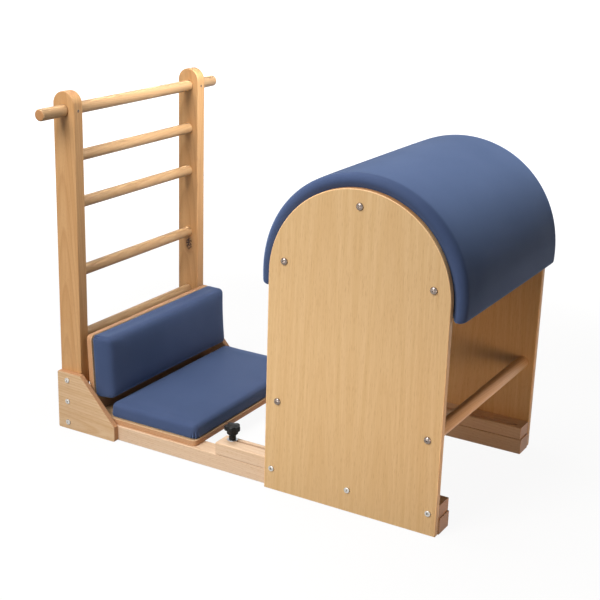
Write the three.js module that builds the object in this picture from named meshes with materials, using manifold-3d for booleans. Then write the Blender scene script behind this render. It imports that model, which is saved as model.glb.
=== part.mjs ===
// Pilates ladder barrel: a padded half-round drum between two arched side panels that
// slides along two floor rails, towards a ladder with a seat and a backrest.
// Millimetres. +Z is up, +X runs from the ladder to the drum, +Y is the left side, and the
// origin lies on the floor under the middle of the plan.
import * as THREE from "three";
import { mergeVertices } from "three/addons/utils/BufferGeometryUtils.js";
import Module from "manifold-3d";

const wasm = await Module();
wasm.setup();

// Clearances that all pieces share
const gap = 0.3; // between faces that bear on each other
const holeClearance = 0.5; // on the radius, round a bolt, stud or dowel
const cutOverrun = 3; // how far a cut runs past the face that it opens

// Side panels
const panelReach = 709.5; // from the ladder's back edge to the panels' near edge
const panelWidth = 500;
const panelThickness = 18;
const panelSpacing = 622.6; // clear width between the two panels
const panelLift = 2; // the panels hang clear of the floor
const archHeight = 602; // centre of the arch above the floor

// Floor rails
const railWidth = 58;
const railHeight = 44;
const railSideClearance = 1.8; // from a floor rail to the panel beside it
const railOverrun = 2; // past the panels' far edge
const railEase = 2; // chamfer of the long edges

// Slotted rails, bolted inside the panels
const runnerWidth = 59;
const runnerHeight = 36;
const runnerReach = 169; // ahead of the panels, towards the ladder
const runnerInset = 1; // short of the panels' far edge
const slotWidth = 9;
const slotDepthFromPanel = 41; // from the rail's outer face to the slot's middle
const slotNearInset = 29; // from the rail's ladder end to the slot's round end
const slotFarInset = 23;

// Ladder posts
const postWidth = 73;
const postThickness = 36;
const postHeight = 984.5; // top above the floor
const postEase = 2;

// Handle bar and rungs
const barDiameter = 33;
const barOverhang = 98.5; // beyond the posts' outer faces
const barDrop = 52; // below the posts' tops
const barEndRound = 5;
const rungDiameter = 32;
const rungSocket = 20; // depth of the blind sockets in the posts
const rungShares = [0.8121, 0.6765, 0.4738, 0.2773]; // of the posts' height

// Gussets
const gussetThickness = 17.7;
const gussetLength = 204.5;
const gussetHeight = 175.5;
const gussetTopWidth = 82;
const gussetCornerRound = 4;
const gussetBoltLift = 22; // first bolt above the floor
const gussetBoltPitch = 65.5;
const gussetBolts = 3;

// Seat
const barrelTravel = 70; // free run of the slotted rails towards the seat board
const travelStop = 2.5; // left between them when the drum is all the way in
const seatBoardThickness = 16;
const seatBoardInset = 6; // from the floor rails' outer faces
const seatBoardRound = 16;
const seatCushionInset = 4; // from the board's sides
const seatCushionFrontInset = 2;
const seatCushionSetback = 51; // from the backrest board to the cushion's rear edge
const seatCushionHeight = 43;
const seatCushionCrown = 4;

// Backrest
const backRake = THREE.MathUtils.degToRad(3);
const backStandOff = 25.7; // from the posts' front faces to the board's lower edge
const backBoardThickness = 16;
const backBoardHeight = 232;
const backBoardInset = 11.5; // from the floor rails' outer faces
const backBoardRound = 14;
const backBoardShow = 2; // above the cushion's upper edge
const backCushionInset = 3; // from the board's sides
const backCushionDepth = 66;
const backCushionCrown = 3;
const cushionSpacing = 3; // from the seat cushion's top to the back cushion
const backRailHeight = 80;
const backRailDepth = 34;
const backRailLift = 78; // above the board's lower edge

// Upholstery
const coverThickness = 1.4;
const cushionCornerRound = 20;
const cushionEdgeRound = 18;
const cushionDrawIn = 4; // how far the long sides pull in between the corners
const cushionTuck = 3; // how far the lower edge turns under

// Drum
const padProud = 35; // the pad stands above the panels' arch
const padDrop = 40; // pad runs down below the arch's centre
const padEndRound = 30;
const padLowerRound = 24;
const foamThickness = 39;
const skinThickness = 6;
const ribDepth = 60;
const ribThickness = 30;
const middleRibThickness = 18;
const ribDrop = 34; // ribs run down below the arch's centre
const archBoltSpread = THREE.MathUtils.degToRad(80);

// Stretchers
const stretcherDiameter = 36;
const stretcherInset = 36; // from the panels' vertical edges
const stretcherHeight = 257;

// Bolts
const boltDiameter = 8;
const domeDiameter = 19;
const domeHeight = 6.5;
const domeRim = 1.2;
const socketHeadDiameter = 16;
const socketHeadHeight = 4;
const socketWidth = 7; // across the corners of the hexagon
const socketDepth = 2.4;
const boltReach = 26; // length in the piece that a bolt fastens
const railBoltInset = 22.4; // from the panels' vertical edges

// Clamps
const studDiameter = 8;
const studInRail = 18; // length of the stud below the floor rail's top
const insertDiameter = 12;
const insertLength = 20;
const washerDiameter = 30;
const washerThickness = 1.6;
const knobStemDiameter = 20;
const knobStemHeight = 12;
const knobCollarDiameter = 33;
const knobCollarHeight = 7;
const knobHeadDiameter = 46;
const knobHeadHeight = 22;
const knobLobeDepth = 4;
const knobEase = 3;
const knobCrown = 2;
const knobBore = 22;
const knobLobes = 5;

// Places that several pieces share
const archRadius = panelWidth / 2;
const overallLength = panelReach + panelWidth + padProud;
const ladderEnd = -overallLength / 2;
const panelStart = ladderEnd + panelReach;
const archX = panelStart + archRadius;
const railOuter = panelSpacing / 2 - railSideClearance;
const railMiddle = railOuter - railWidth / 2;
const railTop = railHeight;
const runnerOuter = panelSpacing / 2 - gap;
const runnerStart = panelStart - runnerReach;
const runnerEnd = panelStart + panelWidth - runnerInset;
const runnerBase = railTop + gap;
const runnerTop = runnerBase + runnerHeight;
const clampX = runnerStart + slotNearInset;
const clampY = runnerOuter - slotDepthFromPanel;
const postFront = ladderEnd + postWidth;
const postMiddle = ladderEnd + postWidth / 2;
const postInner = railOuter - postThickness;
const gussetInner = railOuter + gap;
const seatBoardFront = runnerStart - barrelTravel - travelStop;
const seatBoardBase = railTop + gap;
const seatBoardTop = seatBoardBase + seatBoardThickness;
const seatCushionBase = seatBoardTop + gap;
const backCushionBase = seatCushionBase + seatCushionHeight + cushionSpacing;
const backBoardBase = seatBoardTop + gap;
const backBoardDrop = backCushionBase - backBoardBase; // below the cushion's lower edge
const backBoardX = postFront + backStandOff;
const gussetBoltHeights = Array.from({ length: gussetBolts }, (_, i) => gussetBoltLift + gussetBoltPitch * i);
const barHeight = postHeight - barDrop;
const rungHeights = rungShares.map((share) => postHeight * share);

// Holes for the bolts
const boltHole = boltDiameter + holeClearance * 2;
const boltHoleDepth = boltReach + cutOverrun;

// Radii of the drum's layers, from the outside in
const padRadius = archRadius + padProud;
const foamOuter = padRadius - coverThickness - gap;
const foamInner = foamOuter - foamThickness;
const skinOuter = foamInner - gap;
const skinInner = skinOuter - skinThickness;
const ribOuter = skinInner - gap;
const ribInner = ribOuter - ribDepth;
const boltCircle = (ribOuter + ribInner) / 2;
const drumHalfLength = panelSpacing / 2 - gap;

// Counts of the facets
const archSteps = 48;
const drumSteps = 28;
const roundSteps = 24;
const holeSteps = 12;
const boltSteps = 12;
const cornerSteps = 3;
const lobeSteps = 6;
const hexSides = 6;
const sideSteps = 4;
const crownSteps = 2;

// Materials
function finish(color, roughness, metalness) {
  return new THREE.MeshStandardMaterial({ color, roughness, metalness });
}
const beech = finish(0xd8b487, 0.55, 0);
const plywood = finish(0xcfa575, 0.6, 0);
const vinyl = finish(0x3c4d80, 0.45, 0);
const foam = finish(0xd9d2bd, 0.95, 0);
const chrome = finish(0xc9ccd0, 0.2, 1);
const steel = finish(0xa9adb2, 0.4, 1);
const brass = finish(0xb08d4f, 0.4, 1);
const blackPlastic = finish(0x17181a, 0.5, 0);

// Solids

function toSolid(geometry) {
  const bare = geometry.index ? geometry.toNonIndexed() : geometry.clone();
  bare.deleteAttribute("normal");
  bare.deleteAttribute("uv");
  const merged = mergeVertices(bare);
  const vertProperties = merged.attributes.position.array;
  const triVerts = new Uint32Array(merged.index.array);
  return new wasm.Manifold(new wasm.Mesh({ numProp: 3, vertProperties, triVerts }));
}

function toGeometry(solid) {
  const mesh = solid.getMesh();
  const stride = mesh.numProp;
  const places = new Float32Array(mesh.numVert * 3);
  for (let i = 0; i < mesh.numVert; i++) {
    places.set(mesh.vertProperties.subarray(i * stride, i * stride + 3), i * 3);
  }
  const geometry = new THREE.BufferGeometry();
  geometry.setAttribute("position", new THREE.BufferAttribute(places, 3));
  geometry.setIndex(new THREE.BufferAttribute(mesh.triVerts, 1));
  geometry.computeVertexNormals();
  return geometry;
}

function cut(geometry, cutters) {
  const solid = cutters.reduce((body, cutter) => body.subtract(toSolid(cutter)), toSolid(geometry));
  return toGeometry(solid);
}

function join(geometries) {
  const [first, ...rest] = geometries.map(toSolid);
  return toGeometry(rest.reduce((body, piece) => body.add(piece), first));
}

function addPiece(group, name, geometry, material, x, y, z) {
  const mesh = new THREE.Mesh(geometry, material);
  mesh.name = name;
  mesh.position.set(x, y, z);
  group.add(mesh);
  return mesh;
}

function point(x, y) {
  return new THREE.Vector2(x, y);
}

// A board whose outline is drawn in X and Z, and whose thickness is centred on Y. Its
// half-round stretches take twice as many facets as curveSegments.
function boardAcross(outline, thickness, curveSegments, ease = 0) {
  const board = new THREE.ExtrudeGeometry(outline, {
    depth: thickness - ease * 2,
    bevelEnabled: ease > 0,
    bevelThickness: ease,
    bevelSize: ease,
    bevelOffset: -ease,
    bevelSegments: 1,
    curveSegments,
  });
  board.rotateX(Math.PI / 2);
  board.translate(0, thickness / 2 - ease, 0);
  return board;
}

// A bar whose section is drawn in Y and Z, and which runs from zero along X.
function barAlong(section, length) {
  const bar = new THREE.ExtrudeGeometry(section, { depth: length, bevelEnabled: false });
  bar.rotateX(Math.PI / 2);
  bar.rotateZ(Math.PI / 2);
  return bar;
}

function easedSection(width, height, ease) {
  const side = width / 2;
  return new THREE.Shape([
    point(-side + ease, 0),
    point(side - ease, 0),
    point(side, ease),
    point(side, height - ease),
    point(side - ease, height),
    point(-side + ease, height),
    point(-side, height - ease),
    point(-side, ease),
  ]);
}

function rodAcross(diameter, length, steps = roundSteps) {
  return new THREE.CylinderGeometry(diameter / 2, diameter / 2, length, steps);
}

function rodUp(diameter, length, steps = holeSteps) {
  return rodAcross(diameter, length, steps).rotateX(Math.PI / 2);
}

// A blind hole that opens in the face at faceY and runs inwards, on the side that it faces.
function blindHole(diameter, depth, x, faceY, z, steps = holeSteps) {
  const length = depth + cutOverrun;
  const middle = faceY - Math.sign(faceY) * (depth - length / 2);
  return rodAcross(diameter, length, steps).translate(x, middle, z);
}

// Floor rails

function floorRail(side) {
  const length = panelReach + panelWidth + railOverrun;
  const rail = barAlong(easedSection(railWidth, railHeight, railEase), length);
  const outerFace = side * railWidth / 2;
  const clampAcross = side * (clampY - railMiddle);
  const boltHoles = gussetBoltHeights.filter((height) => height < railHeight).map((height) => (
    blindHole(boltHole, boltHoleDepth, postWidth / 2, outerFace, height)
  ));
  const socketDiameter = insertDiameter + gap * 2;
  const socketLength = insertLength + gap + cutOverrun;
  const socket = rodUp(socketDiameter, socketLength);
  socket.translate(clampX - ladderEnd, clampAcross, railHeight + cutOverrun - socketLength / 2);
  return cut(rail, [...boltHoles, socket]);
}

// Ladder

function postOutline() {
  const radius = postWidth / 2;
  const straight = postHeight - railTop - gap - radius;
  const outline = new THREE.Shape();
  outline.moveTo(-radius, 0);
  outline.lineTo(radius, 0);
  outline.lineTo(radius, straight);
  outline.absarc(0, straight, radius, 0, Math.PI, false);
  outline.lineTo(-radius, 0);
  return outline;
}

function ladderPost(side) {
  const foot = railTop + gap;
  const post = boardAcross(postOutline(), postThickness, roundSteps / 4, postEase);
  const barHole = rodAcross(barDiameter + gap * 2, postThickness + cutOverrun * 2);
  barHole.translate(0, 0, barHeight - foot);
  const innerFace = -side * postThickness / 2;
  const sockets = rungHeights.map((height) => (
    blindHole(rungDiameter + gap * 2, rungSocket, 0, innerFace, height - foot, roundSteps)
  ));
  const boltHoles = gussetBoltHeights.filter((height) => height > railHeight).map((height) => (
    blindHole(boltHole, boltHoleDepth, 0, -innerFace, height - foot)
  ));
  return cut(post, [barHole, ...sockets, ...boltHoles]);
}

function handleBar() {
  const half = railOuter + barOverhang;
  const radius = barDiameter / 2;
  const profile = [point(0, -half)];
  for (let i = 0; i <= cornerSteps; i++) {
    const turn = (Math.PI / 2) * (i / cornerSteps);
    const r = radius - barEndRound * (1 - Math.sin(turn));
    profile.push(point(r, -half + barEndRound * (1 - Math.cos(turn))));
  }
  const mirrored = profile.map((place) => point(place.x, -place.y)).reverse();
  return new THREE.LatheGeometry([...profile, ...mirrored], roundSteps);
}

function rung() {
  return rodAcross(rungDiameter, (postInner + rungSocket - gap) * 2);
}

// Gussets

function gussetOutline() {
  const corners = [
    point(0, 0),
    point(gussetLength, 0),
    point(gussetLength, railHeight),
    point(gussetTopWidth, gussetHeight),
    point(0, gussetHeight),
  ];
  const outline = new THREE.Shape();
  const nearby = (corner, other) => other.clone().sub(corner).setLength(gussetCornerRound).add(corner);
  corners.forEach((corner, i) => {
    const before = nearby(corner, corners.at(i - 1));
    const after = nearby(corner, corners[(i + 1) % corners.length]);
    if (i === 0) outline.moveTo(before.x, before.y);
    else outline.lineTo(before.x, before.y);
    outline.quadraticCurveTo(corner.x, corner.y, after.x, after.y);
  });
  outline.closePath();
  return outline;
}

function gusset() {
  const plate = boardAcross(gussetOutline(), gussetThickness, cornerSteps);
  const length = gussetThickness + cutOverrun * 2;
  const holes = gussetBoltHeights.map((height) => (
    rodAcross(boltHole, length, holeSteps).translate(postWidth / 2, 0, height)
  ));
  return cut(plate, holes);
}

// Bolts, with their axis along Y and the head's seat at zero, pointing to +Y

function domeBolt(length) {
  const headRadius = domeDiameter / 2;
  const shankRadius = boltDiameter / 2;
  const rise = domeHeight - domeRim;
  const profile = [
    point(0, -length),
    point(shankRadius, -length),
    point(shankRadius, 0),
    point(headRadius, 0),
    point(headRadius, domeRim),
  ];
  const domeSteps = cornerSteps + 1;
  for (let i = 1; i < domeSteps; i++) {
    const turn = (Math.PI / 2) * (i / domeSteps);
    profile.push(point(headRadius * Math.cos(turn), domeRim + rise * Math.sin(turn)));
  }
  profile.push(point(0, domeHeight));
  return new THREE.LatheGeometry(profile, boltSteps);
}

function socketBolt(length) {
  const headRadius = socketHeadDiameter / 2;
  const shankRadius = boltDiameter / 2;
  const flat = (headRadius + socketWidth / 2) / 2;
  const body = new THREE.LatheGeometry([
    point(0, -length),
    point(shankRadius, -length),
    point(shankRadius, 0),
    point(headRadius, 0),
    point(headRadius, socketHeadHeight / 3),
    point(flat, socketHeadHeight),
    point(0, socketHeadHeight),
  ], boltSteps);
  const socketLength = socketDepth + cutOverrun;
  const socket = rodAcross(socketWidth, socketLength, hexSides);
  socket.translate(0, socketHeadHeight - socketDepth + socketLength / 2, 0);
  return cut(body, [socket]);
}

function addBolt(group, name, geometry, side, x, faceY, z) {
  const bolt = addPiece(group, name, geometry, chrome, x, faceY, z);
  if (side < 0) bolt.rotation.z = Math.PI;
}

// Side panels

function panelOutline() {
  const straight = archHeight - panelLift;
  const outline = new THREE.Shape();
  outline.moveTo(-archRadius, 0);
  outline.lineTo(archRadius, 0);
  outline.lineTo(archRadius, straight);
  outline.absarc(0, straight, archRadius, 0, Math.PI, false);
  outline.lineTo(-archRadius, 0);
  return outline;
}

// Places of the bolts, from the middle of the arch
const archBoltPlaces = [-archBoltSpread, 0, archBoltSpread].map((turn) => (
  point(boltCircle * Math.sin(turn), boltCircle * Math.cos(turn))
));
const stretcherPlaces = [-1, 1].map((way) => (
  point(way * (archRadius - stretcherInset), stretcherHeight - archHeight)
));
const railBoltPlaces = [-1, 0, 1].map((way) => (
  point(way * (archRadius - railBoltInset), runnerBase + runnerHeight / 2 - archHeight)
));

function sidePanel() {
  const panel = boardAcross(panelOutline(), panelThickness, archSteps / 2);
  panel.translate(0, 0, panelLift - archHeight);
  const length = panelThickness + cutOverrun * 2;
  const holes = [...archBoltPlaces, ...stretcherPlaces, ...railBoltPlaces].map((place) => (
    rodAcross(boltHole, length, holeSteps).translate(place.x, 0, place.y)
  ));
  return cut(panel, holes);
}

// Slotted rails

function slottedRail(side) {
  const length = runnerEnd - runnerStart;
  const rail = barAlong(easedSection(runnerWidth, runnerHeight, railEase), length);
  const outerFace = side * runnerWidth / 2;
  const slotY = side * (runnerWidth / 2 - slotDepthFromPanel);
  const height = runnerHeight + cutOverrun * 2;
  const slotLength = length - slotNearInset - slotFarInset;
  const slotMiddle = slotNearInset + slotLength / 2;
  const slot = new THREE.BoxGeometry(slotLength, slotWidth, height);
  slot.translate(slotMiddle, slotY, runnerHeight / 2);
  const ends = [slotNearInset, slotNearInset + slotLength].map((x) => (
    rodUp(slotWidth, height).translate(x, slotY, runnerHeight / 2)
  ));
  const boltHoles = railBoltPlaces.map((place) => {
    const x = archX + place.x - runnerStart;
    const z = archHeight + place.y - runnerBase;
    return blindHole(boltHole, boltHoleDepth, x, outerFace, z);
  });
  return cut(rail, [slot, ...ends, ...boltHoles]);
}

// Stretchers, with a pilot hole for a bolt in each end

function stretcher() {
  const half = panelSpacing / 2 - gap;
  const dowel = rodAcross(stretcherDiameter, half * 2);
  const pilots = [-half, half].map((face) => (
    blindHole(boltHole, boltHoleDepth, 0, face, 0)
  ));
  return cut(dowel, pilots);
}

// Drum

// An arched band between two radii, whose legs run straight down by a drop.
function bandOutline(outer, inner, drop) {
  const outline = new THREE.Shape();
  outline.moveTo(outer, -drop);
  outline.lineTo(outer, 0);
  outline.absarc(0, 0, outer, 0, Math.PI, false);
  outline.lineTo(-outer, -drop);
  outline.lineTo(-inner, -drop);
  outline.lineTo(-inner, 0);
  outline.absarc(0, 0, inner, Math.PI, 0, true);
  outline.lineTo(inner, -drop);
  outline.closePath();
  return outline;
}

function bandAcross(outer, inner, drop, thickness, cutters = []) {
  const band = boardAcross(bandOutline(outer, inner, drop), thickness, drumSteps / 2);
  return cutters.length ? cut(band, cutters) : band;
}

function endRib(side) {
  const face = side * ribThickness / 2;
  const pilots = archBoltPlaces.map((place) => (
    blindHole(boltHole, boltReach + gap, place.x, face, place.y)
  ));
  return bandAcross(ribOuter, ribInner, ribDrop, ribThickness, pilots);
}

// The stations along the pad: up the front leg, over the arch and down the rear leg. Each has
// the turn of its outward direction, its drop below the arch's centre, and how far the outer
// face is drawn in where the lower edge is rounded.
function padStations(drop, lowerRound) {
  const leg = [];
  for (let i = 0; i <= cornerSteps; i++) {
    const turn = (Math.PI / 2) * (i / cornerSteps);
    const down = drop - lowerRound * (1 - Math.cos(turn));
    leg.push({ down, drawn: lowerRound * (1 - Math.sin(turn)) });
  }
  const front = leg.map((stop) => ({ turn: 0, ...stop }));
  const rear = leg.map((stop) => ({ turn: Math.PI, ...stop })).reverse();
  const arch = [];
  for (let i = 0; i <= drumSteps; i++) {
    arch.push({ turn: Math.PI * (i / drumSteps), down: 0, drawn: 0 });
  }
  return [...front, ...arch, ...rear];
}

// The section of the pad at one station: radius against Y, with round outer corners.
function padSection(outer, inner, half, round) {
  const section = [point(inner, -half)];
  for (let i = 0; i <= cornerSteps; i++) {
    const turn = (Math.PI / 2) * (i / cornerSteps);
    const radius = outer - round * (1 - Math.sin(turn));
    section.push(point(radius, -half + round * (1 - Math.cos(turn))));
  }
  const mirrored = section.map((place) => point(place.x, -place.y)).reverse();
  return [...section, ...mirrored];
}

// A closed surface through rings of equally many points, with a flat cap at each end.
function loft(rings) {
  const places = rings.flat();
  const count = rings[0].length;
  const faces = [];
  for (let r = 0; r + 1 < rings.length; r++) {
    for (let i = 0; i < count; i++) {
      const j = (i + 1) % count;
      const [a, b] = [r * count + i, r * count + j];
      const [c, d] = [a + count, b + count];
      faces.push(a, b, d, a, d, c);
    }
  }
  const last = (rings.length - 1) * count;
  for (let i = 1; i + 1 < count; i++) {
    faces.push(0, i + 1, i);
    faces.push(last, last + i, last + i + 1);
  }
  const coordinates = places.flatMap((place) => place.toArray());
  const geometry = new THREE.BufferGeometry();
  geometry.setAttribute("position", new THREE.Float32BufferAttribute(coordinates, 3));
  geometry.setIndex(faces);
  return geometry.toNonIndexed();
}

// Every layer's end rounding stops at the same depth, just above the foam's inner face.
function padGeometry(outer, inner, half, drop, endRound, lowerRound) {
  const rings = padStations(drop, lowerRound).map((stop) => {
    const face = outer - stop.drawn;
    const round = Math.min(endRound, face - foamInner - gap);
    return padSection(face, inner, half, round).map((place) => (
      new THREE.Vector3(place.x * Math.cos(stop.turn), place.y, place.x * Math.sin(stop.turn) - stop.down)
    ));
  });
  return loft(rings);
}

function drumFoam() {
  const shell = coverThickness + gap;
  return padGeometry(
    foamOuter, foamInner, drumHalfLength - shell, padDrop - shell, padEndRound - shell, padLowerRound - shell,
  );
}

function drumCover() {
  const outside = padGeometry(padRadius, foamInner, drumHalfLength, padDrop, padEndRound, padLowerRound);
  const inside = padGeometry(
    padRadius - coverThickness, skinInner, drumHalfLength - coverThickness, padDrop - coverThickness,
    padEndRound - coverThickness, padLowerRound - coverThickness,
  );
  return cut(outside, [inside]);
}

// Cushions

// A cushion's outline at one level: a rounded rectangle whose sides pull in between corners.
function cushionRing(halfLength, halfWidth, round, drawIn, z, scale = 1) {
  const corners = [
    [halfLength - round, halfWidth - round, 0],
    [round - halfLength, halfWidth - round, Math.PI / 2],
    [round - halfLength, round - halfWidth, Math.PI],
    [halfLength - round, round - halfWidth, -Math.PI / 2],
  ];
  const ring = [];
  corners.forEach(([x, y, start], i) => {
    for (let k = 0; k <= cornerSteps; k++) {
      const turn = start + (Math.PI / 2) * (k / cornerSteps);
      ring.push(point(x + round * Math.cos(turn), y + round * Math.sin(turn)));
    }
    const [nextX, nextY] = corners[(i + 1) % corners.length];
    const turn = start + Math.PI / 2;
    const outward = point(Math.cos(turn), Math.sin(turn));
    for (let k = 1; k < sideSteps; k++) {
      const share = k / sideSteps;
      const pull = round - drawIn * Math.sin(Math.PI * share);
      const along = point(x + (nextX - x) * share, y + (nextY - y) * share);
      ring.push(along.addScaledVector(outward, pull));
    }
  });
  return ring.map((place) => new THREE.Vector3(place.x * scale, place.y * scale, z));
}

// A cushion that lies on z = 0: tucked lower edge, drawn-in sides, rounded upper edge, crown.
function cushionGeometry(length, width, height, crown, shell = 0) {
  const [halfLength, halfWidth] = [length / 2 - shell, width / 2 - shell];
  const corner = cushionCornerRound - shell;
  const edge = cushionEdgeRound - shell;
  const top = height - shell;
  const shoulder = top - crown;
  const ringAt = (inset, z, scale) => {
    const round = corner - inset;
    return cushionRing(halfLength - inset, halfWidth - inset, round, cushionDrawIn, z, scale);
  };
  const rings = [ringAt(cushionTuck, 0), ringAt(0, cushionTuck * 2)];
  for (let i = 0; i <= cornerSteps; i++) {
    const turn = (Math.PI / 2) * (i / cornerSteps);
    rings.push(ringAt(edge * (1 - Math.cos(turn)), shoulder - edge * (1 - Math.sin(turn))));
  }
  for (let i = 1; i <= crownSteps; i++) {
    const share = 1 - i / (crownSteps + 1);
    rings.push(ringAt(edge, shoulder + crown * (1 - share * share), share));
  }
  return loft(rings);
}

function cushionFoam(length, width, height, crown) {
  return cushionGeometry(length, width, height - gap, crown, coverThickness + gap).translate(0, 0, gap);
}

function cushionCover(length, width, height, crown) {
  const inside = cushionGeometry(length, width, height + gap, crown, coverThickness).translate(0, 0, -gap);
  return cut(cushionGeometry(length, width, height, crown), [inside]);
}

// Seat and backrest

function boardWithRoundCorners(depth, width, thickness, round, atBothEnds) {
  const [x, y] = [depth / 2, width / 2];
  const rear = atBothEnds ? round : 0;
  const outline = new THREE.Shape();
  outline.moveTo(-x + rear, -y);
  outline.lineTo(x - round, -y);
  outline.absarc(x - round, round - y, round, -Math.PI / 2, 0, false);
  outline.lineTo(x, y - round);
  outline.absarc(x - round, y - round, round, 0, Math.PI / 2, false);
  outline.lineTo(-x + rear, y);
  if (rear > 0) outline.absarc(rear - x, y - rear, rear, Math.PI / 2, Math.PI, false);
  outline.lineTo(-x, -y + rear);
  if (rear > 0) outline.absarc(rear - x, rear - y, rear, Math.PI, (Math.PI * 3) / 2, false);
  const board = { depth: thickness, bevelEnabled: false, curveSegments: cornerSteps };
  return new THREE.ExtrudeGeometry(outline, board);
}

function addSeat(group) {
  const boardRear = postFront + gap;
  const boardWidth = (railOuter - seatBoardInset) * 2;
  const boardDepth = seatBoardFront - boardRear;
  const board = boardWithRoundCorners(boardDepth, boardWidth, seatBoardThickness, seatBoardRound, false);
  addPiece(group, "seat_board", board, plywood, boardRear + boardDepth / 2, 0, seatBoardBase);
  const cushionFront = seatBoardFront - seatCushionFrontInset;
  const cushionRear = backBoardX + backBoardThickness + seatCushionSetback;
  const length = cushionFront - cushionRear;
  const width = boardWidth - seatCushionInset * 2;
  const middle = (cushionFront + cushionRear) / 2;
  const foamBody = cushionFoam(length, width, seatCushionHeight, seatCushionCrown);
  const coverBody = cushionCover(length, width, seatCushionHeight, seatCushionCrown);
  addPiece(group, "seat_foam", foamBody, foam, middle, 0, seatCushionBase);
  addPiece(group, "seat_cover", coverBody, vinyl, middle, 0, seatCushionBase);
}

// The rail's front face is planed to the backrest's rake.
function backRail() {
  const lean = Math.tan(backRake);
  const near = -gap - lean * backRailLift;
  const outline = new THREE.Shape([
    point(-backRailDepth, backRailLift),
    point(near, backRailLift),
    point(near - lean * backRailHeight, backRailLift + backRailHeight),
    point(-backRailDepth, backRailLift + backRailHeight),
  ]);
  return boardAcross(outline, (postInner - gap) * 2, 1);
}

function addBackrest(group) {
  addPiece(group, "back_rail", backRail(), beech, backBoardX, 0, backBoardBase);
  const rest = new THREE.Group();
  rest.position.set(backBoardX, 0, backBoardBase);
  rest.rotation.y = -backRake;
  group.add(rest);
  const width = (railOuter - backBoardInset) * 2;
  const board = boardWithRoundCorners(backBoardHeight, width, backBoardThickness, backBoardRound, true);
  const boardMesh = addPiece(rest, "back_board", board, plywood, 0, 0, backBoardHeight / 2);
  boardMesh.rotation.y = Math.PI / 2;
  const cushionHeight = backBoardHeight - backBoardDrop - backBoardShow;
  const cushionWidth = width - backCushionInset * 2;
  const middle = backBoardDrop + cushionHeight / 2;
  const seat = backBoardThickness + gap;
  const foamBody = cushionFoam(cushionHeight, cushionWidth, backCushionDepth, backCushionCrown);
  const coverBody = cushionCover(cushionHeight, cushionWidth, backCushionDepth, backCushionCrown);
  addPiece(rest, "back_foam", foamBody, foam, seat, 0, middle).rotation.y = Math.PI / 2;
  addPiece(rest, "back_cover", coverBody, vinyl, seat, 0, middle).rotation.y = Math.PI / 2;
}

// Clamps

function knobOutline() {
  const mean = knobHeadDiameter / 2 - knobLobeDepth / 2;
  const steps = knobLobes * lobeSteps;
  const outline = [];
  for (let i = 0; i < steps; i++) {
    const turn = Math.PI * 2 * (i / steps);
    const radius = mean + (knobLobeDepth / 2) * Math.cos(turn * knobLobes);
    outline.push(point(radius * Math.cos(turn), radius * Math.sin(turn)));
  }
  return new THREE.Shape(outline);
}

function clampKnob() {
  const headBase = knobStemHeight + knobCollarHeight;
  const head = new THREE.ExtrudeGeometry(knobOutline(), {
    depth: knobHeadHeight - knobEase * 2,
    bevelEnabled: true,
    bevelThickness: knobEase,
    bevelSize: knobEase,
    bevelOffset: -knobEase,
    bevelSegments: 1,
  }).translate(0, 0, headBase + knobEase);
  const stemRadius = knobStemDiameter / 2;
  const collarRadius = knobCollarDiameter / 2;
  const top = headBase + knobHeadHeight;
  const core = new THREE.LatheGeometry([
    point(0, 0),
    point(stemRadius, 0),
    point(stemRadius, knobStemHeight),
    point(collarRadius, knobStemHeight + knobCollarHeight / 3),
    point(collarRadius, headBase + knobEase * 2),
    point(collarRadius, top),
    point(collarRadius / 2, top + knobCrown),
    point(0, top + knobCrown),
  ], holeSteps).rotateX(Math.PI / 2);
  const bore = rodUp(studDiameter + gap * 2, knobBore + cutOverrun);
  bore.translate(0, 0, (knobBore - cutOverrun) / 2);
  return cut(join([core, head]), [bore]);
}

function ring(outer, inner, height, steps) {
  return new THREE.LatheGeometry([
    point(inner / 2, 0),
    point(outer / 2, 0),
    point(outer / 2, height),
    point(inner / 2, height),
    point(inner / 2, 0),
  ], steps).rotateX(Math.PI / 2);
}

function addClamp(group, side, label) {
  const y = side * clampY;
  const studHole = studDiameter + gap * 2;
  const insertBase = railTop - gap - insertLength;
  const insert = ring(insertDiameter, studHole, insertLength, holeSteps);
  addPiece(group, `clamp_insert_${label}`, insert, brass, clampX, y, insertBase);
  const washerBase = runnerTop + gap;
  const washer = ring(washerDiameter, studHole, washerThickness, holeSteps);
  addPiece(group, `clamp_washer_${label}`, washer, steel, clampX, y, washerBase);
  const knobBase = washerBase + washerThickness + gap;
  addPiece(group, `clamp_knob_${label}`, clampKnob(), blackPlastic, clampX, y, knobBase);
  const studBase = railTop - studInRail;
  const studLength = knobBase + knobBore - gap - studBase;
  const stud = rodUp(studDiameter, studLength).translate(0, 0, studLength / 2);
  addPiece(group, `clamp_stud_${label}`, stud, steel, clampX, y, studBase);
}

// Assembly

function addLadder(group) {
  addPiece(group, "handle_bar", handleBar(), beech, postMiddle, 0, barHeight);
  rungHeights.forEach((height, i) => {
    addPiece(group, `ladder_rung_${i + 1}`, rung(), beech, postMiddle, 0, height);
  });
}

function addLadderSide(group, side, label) {
  const railY = side * railMiddle;
  addPiece(group, `base_rail_${label}`, floorRail(side), beech, ladderEnd, railY, 0);
  const postY = side * (railOuter - postThickness / 2);
  addPiece(group, `ladder_post_${label}`, ladderPost(side), beech, postMiddle, postY, railTop + gap);
  const gussetY = side * (gussetInner + gussetThickness / 2);
  addPiece(group, `gusset_${label}`, gusset(), plywood, ladderEnd, gussetY, 0);
  const face = side * (gussetInner + gussetThickness);
  gussetBoltHeights.forEach((height, i) => {
    const bolt = socketBolt(gussetThickness + gap + boltReach);
    addBolt(group, `gusset_bolt_${label}_${i + 1}`, bolt, side, postMiddle, face, height);
  });
}

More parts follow.
